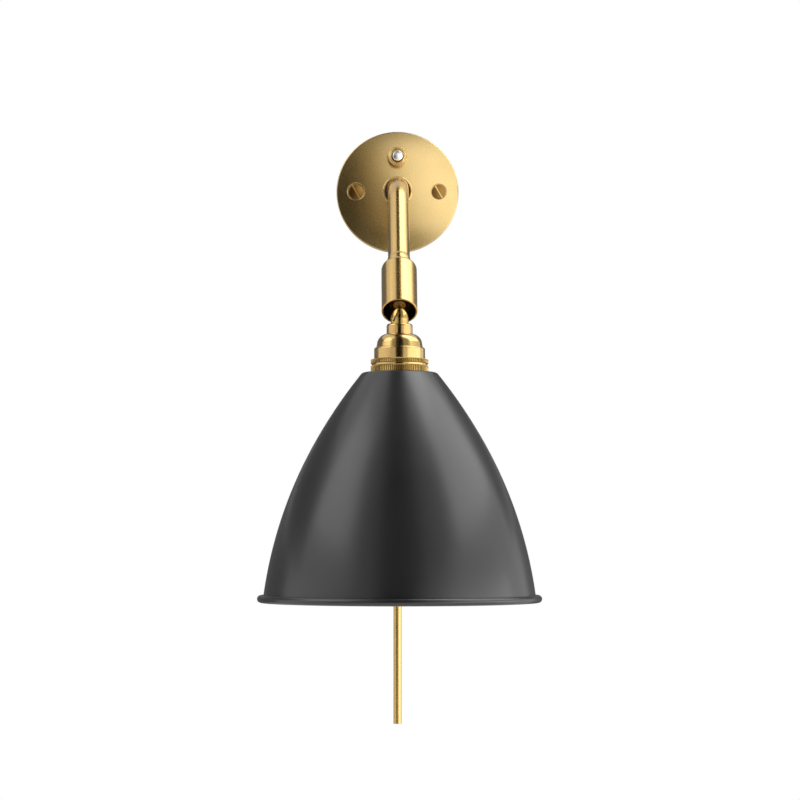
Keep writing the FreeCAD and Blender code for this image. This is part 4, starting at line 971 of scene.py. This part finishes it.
class LAMP_OT_lamp_socket(bpy.types.Operator):
    """Build the porcelain body, the threaded shell and the centre contact"""
    bl_idname = "lamp.lamp_socket"
    bl_label = "Lamp Socket"

    def execute(self, context):
        turned("holder_porcelain", [
            line(8.3, -45.8),
            line(12.15, -45.8),
            line(12.65, -45.3),
            line(12.65, -22.3),
            line(0, -22.3),
            line(0, -25.3),
            line(8.3, -25.3),
        ], UNDER, "head", "ceramic", {"": finish_of("porcelain_glazed")},
            ("holder_insulator",), round_count=128, ease=0.4)
        turned("screw_shell_rolled", [
            line(6.3, -44.3),
            line(8.25, -44.3),
            line(8.25, -43.9),
            line(6.7, -43.9),
            line(6.7, -43.6),
            line(6.7, -31.3, "thread"),
            line(6.3, -31.3),
            line(6.3, -43.6, "thread"),
        ], UNDER, "head", "brass", {"": finish_of("shell_nickel_plated")}, ("screw_shell",),
            round_count=96, ease=0.0, carve=thread_wave(2.82, 0.68, rolled=True),
            rows={"thread": 0.28})
        turned("centre_contact_sprung", [
            line(0, -25.3),
            line(0, -27.7),
            arc(1.1, -27.45, 2.6, 1),
            arc(2.3, -26.26, 2.4, 1),
            line(2.3, -25.3),
        ], UNDER, "head", "brass", {"": finish_of("brass_knurled")}, ("centre_contact",),
            round_count=64, ease=0.1)
        return {"FINISHED"}


class LAMP_OT_cable_tube(bpy.types.Operator):
    """Build the thin tube down the wall and finish its socket"""
    bl_idname = "lamp.cable_tube"
    bl_label = "Cable Tube"

    def execute(self, context):
        side = sizes().tube_diameter / 2 / MM
        turned("cable_tube_drawn", [
            line(side - 0.5, -324.0),
            line(side, -324.0),
            line(side, -42.0, "side"),
            line(side - 0.5, -42.0),
        ], TUBE, "fixture", "brass", {"": finish_of("brass_turned_satin")}, ("cable_tube",),
            round_count=72, rows={"side": 12.0})
        paint_node("tube_socket", "brass_spun_plain")
        return {"FINISHED"}


def stage_card(name, points, faces, material):
    """A studio card that only reflections see, so that the object keeps a plain light level."""
    mesh = bpy.data.meshes.new(name)
    mesh.from_pydata(points, [], faces)
    mesh.materials.append(material)
    item = bpy.data.objects.new(name, mesh)
    bpy.context.scene.collection.objects.link(item)
    item.visible_camera = False
    item.visible_shadow = False
    item.visible_diffuse = False


# The curved cards round the lamp: name, face, its two azimuths and its two elevations, in
# degrees. Azimuth 0 is toward the camera and grows to its right.
CARDS = (
    ("softbox_right_high", "softbox_right", (56, 118), (22, 56)),
    ("softbox_right_top", "softbox_right_strong", (56, 118), (56, 84)),
    ("softbox_right_low", "softbox_right", (36, 105), (-35, 7)),
    ("softbox_right_middle", "softbox_right_faint", (44, 116), (7, 22)),
    ("softbox_left_low", "softbox_left_faint", (-90, -46), (9, 20)),
    ("softbox_left", "softbox_left", (-94, -50), (20, 56)),
    ("flag_low_left", "flag_black", (-60, -17), (-14, 1)),
    ("flag_side_left", "flag_dusk", (-106, -96), (9, 34)),
    ("flag_back_middle", "flag_dusk", (124, 254), (9, 34)),
    ("flag_back_high", "flag_light_grey", (124, 258), (34, 75)),
    ("flag_back_low", "flag_dusk", (135, 248), (-45, 8)),
)
CARD_RADIUS = 1.55
BAND_RADIUS = 1.6


def card(name, azimuth, elevation, material):
    """A curved card on a sphere round the lamp, between two azimuths and two elevations."""
    steps = 16
    points, faces = [], []
    for i in range(steps + 1):
        around = math.radians(azimuth[0] + (azimuth[1] - azimuth[0]) * i / steps)
        for j in range(steps + 1):
            high = math.radians(elevation[0] + (elevation[1] - elevation[0]) * j / steps)
            points.append(LAMP_MIDDLE + CARD_RADIUS * Vector((
                math.sin(around) * math.cos(high), -math.cos(around) * math.cos(high),
                math.sin(high))))
    for i in range(steps):
        for j in range(steps):
            a = i * (steps + 1) + j
            faces.append((a, a + 1, a + steps + 2, a + steps + 1))
    stage_card(name, points, faces, material)


# The dark flag in front and overhead: elevation in degrees, then its left and right edges in
# metres across. It draws the dark stripe down the tubes and the calm centre of the bell.
FLAG_EDGES = ((-40, -0.9, 0.0), (-14, -0.9, 0.0), (-13.9, -0.5, 0.4), (8.5, -0.5, 0.4),
              (8.6, -0.62, 0.6), (30, -0.5, 0.45), (60, -0.42, 0.32), (67, -0.42, 0.22),
              (104, -0.42, 0.22))
# Half dark feathers beside it, where the bell's highlights fade out.
LEFT_FEATHER = ((8.6, -1.1, -0.6), (27, -1.0, -0.4), (60, -0.85, -0.4), (66, -0.42, -0.3))
RIGHT_FEATHER = ((8.6, 0.5, 1.12), (30, 0.4, 1.15), (60, 0.3, 1.0), (68, 0.14, 0.3))


def band(name, edges, material):
    """A dark strip from low in front over the top, with its own width at each elevation."""
    points, faces = [], []
    for (e0, l0, r0), (e1, l1, r1) in zip(edges, edges[1:]):
        steps = max(1, round((e1 - e0) / 3))
        for j in range(steps + 1):
            share = j / steps
            high = math.radians(e0 + (e1 - e0) * share)
            for x in (l0 + (l1 - l0) * share, r0 + (r1 - r0) * share):
                depth = math.sqrt(BAND_RADIUS ** 2 - x ** 2)
                points.append(LAMP_MIDDLE + Vector((x, -depth * math.cos(high),
                                                    depth * math.sin(high))))
            if j:
                n = len(points)
                faces.append((n - 4, n - 3, n - 1, n - 2))
    stage_card(name, points, faces, material)


def glow(name, strength):
    """The even face of a soft box, or of a flag where its strength is low."""
    material, tree = blank(name)
    light = add(tree, "Emission", {"Color": WHITE, "Strength": strength})
    add(tree, "OutputMaterial", links={"Surface": light.outputs["Emission"]})
    return material


class LAMP_OT_stage(bpy.types.Operator):
    """Set up the pale floor, the soft boxes, the dark flags, the white room and the camera"""
    bl_idname = "lamp.stage"
    bl_label = "Studio"

    def execute(self, context):
        studio = context.scene.lamp_studio
        self.floor(studio)
        self.room(context.scene, studio)
        strengths = {
            "softbox_right": studio.right_light,
            "softbox_right_strong": 1.5 * studio.right_light,
            "softbox_right_faint": 0.32 * studio.right_light,
            "softbox_left": studio.left_light,
            "softbox_left_faint": 0.35 * studio.left_light,
            "flag_light_grey": 0.75,
            "flag_grey": 0.35,
            "flag_dusk": 0.16,
            "flag_black": 0.0,
        }
        lit = {name: glow(name, strength) for name, strength in strengths.items()}
        for name, face, azimuths, elevations in CARDS:
            card(name, azimuths, elevations, lit[face])
        band("flag_front", FLAG_EDGES, lit["flag_black"])
        self.plate_card()
        band("flag_feather_left", LEFT_FEATHER, lit["flag_grey"])
        band("flag_feather_right", RIGHT_FEATHER, lit["flag_grey"])
        self.key()
        self.camera(context.scene)
        return {"FINISHED"}

    def plate_card(self):
        """A one-sided card close above the arm, facing the wall plate.

        It goes from dark and warm at lower left to white at right, and it is clear from behind
        so that the bell doesn't mirror its back.
        """
        left, right, foot, head = -0.19, 0.14, (-0.12, -0.035), (-0.23, 0.17)
        points = [Vector((x, y, z)) for y, z in (foot, head) for x in (left, right)]
        material, tree = blank("plate_card_graded")
        where = add(tree, "TexCoord")
        along_grade = (1.0, 0.0, 0.28)
        tilt = add(tree, "VectorMath", {1: along_grade}, {0: where.outputs["Object"]},
                   operation="DOT_PRODUCT")
        grade = add(tree, "MapRange", {"From Min": -0.07, "From Max": 0.09, "To Max": 1.7},
                    {"Value": tilt.outputs["Value"]}, interpolation_type="SMOOTHSTEP")
        tone = add(tree, "MixRGB", {"Color1": (1.0, 0.74, 0.42, 1.0), "Color2": WHITE},
                   {"Fac": grade.outputs["Result"]})
        light = add(tree, "Emission", links={"Color": tone.outputs["Color"],
                                             "Strength": grade.outputs["Result"]})
        clear = add(tree, "BsdfTransparent")
        side = add(tree, "NewGeometry")
        card_face = add(tree, "MixShader", links={0: side.outputs["Backfacing"],
                                                  1: clear.outputs["BSDF"],
                                                  2: light.outputs["Emission"]})
        add(tree, "OutputMaterial", links={"Surface": card_face.outputs["Shader"]})
        stage_card("plate_card", points, [(0, 1, 3, 2)], material)

    def key(self):
        """One large plain lamp for the matt surfaces, above and right of the camera."""
        data = bpy.data.lights.new("key_lamp", "AREA")
        data.shape = "SQUARE"
        data.size = 1.2
        data.energy = 14.0
        item = bpy.data.objects.new("key_lamp", data)
        bpy.context.scene.collection.objects.link(item)
        item.location = (1.0, -1.3, 0.9)
        aim = LAMP_MIDDLE - item.location
        item.rotation_euler = aim.to_track_quat("-Z", "Y").to_euler()
        item.visible_glossy = False

    def floor(self, studio):
        """A round pale board under the lamp."""
        work = bmesh.new()
        round_count = 96
        centre = Vector((0, -0.55, studio.floor_level))
        rows = []
        for ring in (0.0, 0.45, 0.75, 0.95):
            count = round_count if ring else 1
            rows.append([work.verts.new(centre + Vector((ring * math.cos(TAU * k / count),
                                                         ring * math.sin(TAU * k / count), 0)))
                         for k in range(count)])
        for inner, outer in zip(rows, rows[1:]):
            for k in range(round_count):
                n = (k + 1) % round_count
                if len(inner) == 1:
                    work.faces.new((inner[0], outer[k], outer[n]))
                else:
                    work.faces.new((inner[k], outer[k], outer[n], inner[n]))
        mesh = bpy.data.meshes.new("studio_floor")
        work.to_mesh(mesh)
        work.free()
        # Matt painted board: pale, with a roller's texture of some 3 mm, barely visible.
        material, tree = blank("floor_matt_paint")
        where = add(tree, "TexCoord")
        nap = add(tree, "TexNoise", {"Scale": per_metre(3.33), "Detail": 3.0},
                  {"Vector": where.outputs["Object"]})
        tint = add(tree, "MixRGB", {"Color1": linear("#efefed"), "Color2": linear("#f8f8f6")},
                   {"Fac": nap.outputs["Fac"]})
        relief = add(tree, "Bump", {"Strength": 0.1, "Distance": 0.0002},
                     {"Height": nap.outputs["Fac"]})
        paint = add(tree, "BsdfPrincipled", {"Roughness": 0.8},
                    {"Base Color": tint.outputs["Color"], "Normal": relief.outputs["Normal"]})
        add(tree, "OutputMaterial", links={"Surface": paint.outputs["BSDF"]})
        mesh.materials.append(material)
        item = bpy.data.objects.new("studio_floor", mesh)
        bpy.context.scene.collection.objects.link(item)

    def room(self, scene, studio):
        """A room that looks white and lights the matt surfaces a little less than that."""
        world = bpy.data.worlds.new("white_room")
        scene.world = world
        world.use_nodes = True
        tree = world.node_tree
        tree.nodes.clear()
        rays = add(tree, "LightPath")
        seen = add(tree, "Math", links={0: rays.outputs["Is Camera Ray"],
                                        1: rays.outputs["Is Glossy Ray"]}, operation="MAXIMUM")
        shown = add(tree, "Math", links={0: seen.outputs["Value"],
                                         1: rays.outputs["Is Transmission Ray"]},
                    operation="MAXIMUM")
        soft = add(tree, "Background", {"Color": WHITE, "Strength": studio.room_light})
        white = add(tree, "Background", {"Color": WHITE, "Strength": 1.0})
        both = add(tree, "MixShader", links={0: shown.outputs["Value"],
                                             1: soft.outputs["Background"],
                                             2: white.outputs["Background"]})
        add(tree, "OutputWorld", links={"Surface": both.outputs["Shader"]})

    def camera(self, scene):
        """A long lens a little below the lamp's middle, as in the photograph."""
        data = bpy.data.cameras.new("camera")
        data.lens = 94.2
        data.sensor_width = 36.0
        data.dof.use_dof = False
        item = bpy.data.objects.new("camera", data)
        scene.collection.objects.link(item)
        item.location = (-0.0165, -1.277, -0.2162)
        item.rotation_euler = (math.radians(93.95), 0, math.radians(-0.81))
        scene.camera = item
        scene.view_settings.view_transform = "Standard"


class LAMP_PT_panel(bpy.types.Panel):
    """Lists the lamp's sizes, finishes and studio, and the operators that build it"""
    bl_label = "Wall Lamp"
    bl_idname = "LAMP_PT_panel"
    bl_space_type = "VIEW_3D"
    bl_region_type = "UI"
    bl_category = "Wall Lamp"

    def draw(self, context):
        for group in ("lamp_sizes", "lamp_finishes", "lamp_studio"):
            settings = getattr(context.scene, group)
            box = self.layout.box()
            for name in settings.__annotations__:
                box.prop(settings, name)
        for operator in OPERATORS:
            self.layout.operator(operator.bl_idname)


GROUPS = (LampSizes, LampFinishes, LampStudio)
OPERATORS = (LAMP_OT_wall_plate, LAMP_OT_plate_screws, LAMP_OT_wall_fixings, LAMP_OT_switch,
             LAMP_OT_arm, LAMP_OT_ball_joint, LAMP_OT_lampholder, LAMP_OT_shade_rings,
             LAMP_OT_shade, LAMP_OT_lamp_socket, LAMP_OT_cable_tube, LAMP_OT_stage)


def register():
    for item in GROUPS + OPERATORS + (LAMP_PT_panel,):
        bpy.utils.register_class(item)
    bpy.types.Scene.lamp_sizes = bpy.props.PointerProperty(type=LampSizes)
    bpy.types.Scene.lamp_finishes = bpy.props.PointerProperty(type=LampFinishes)
    bpy.types.Scene.lamp_studio = bpy.props.PointerProperty(type=LampStudio)


def unregister():
    del bpy.types.Scene.lamp_studio
    del bpy.types.Scene.lamp_finishes
    del bpy.types.Scene.lamp_sizes
    for item in reversed(GROUPS + OPERATORS + (LAMP_PT_panel,)):
        bpy.utils.unregister_class(item)


def main():
    """Builds the lamp and its studio."""
    register()
    for operator in OPERATORS:
        group, name = operator.bl_idname.split(".")
        if getattr(getattr(bpy.ops, group), name)() != {"FINISHED"}:
            raise RuntimeError("%s did not finish" % operator.bl_label)


if __name__ == "__main__":
    main()
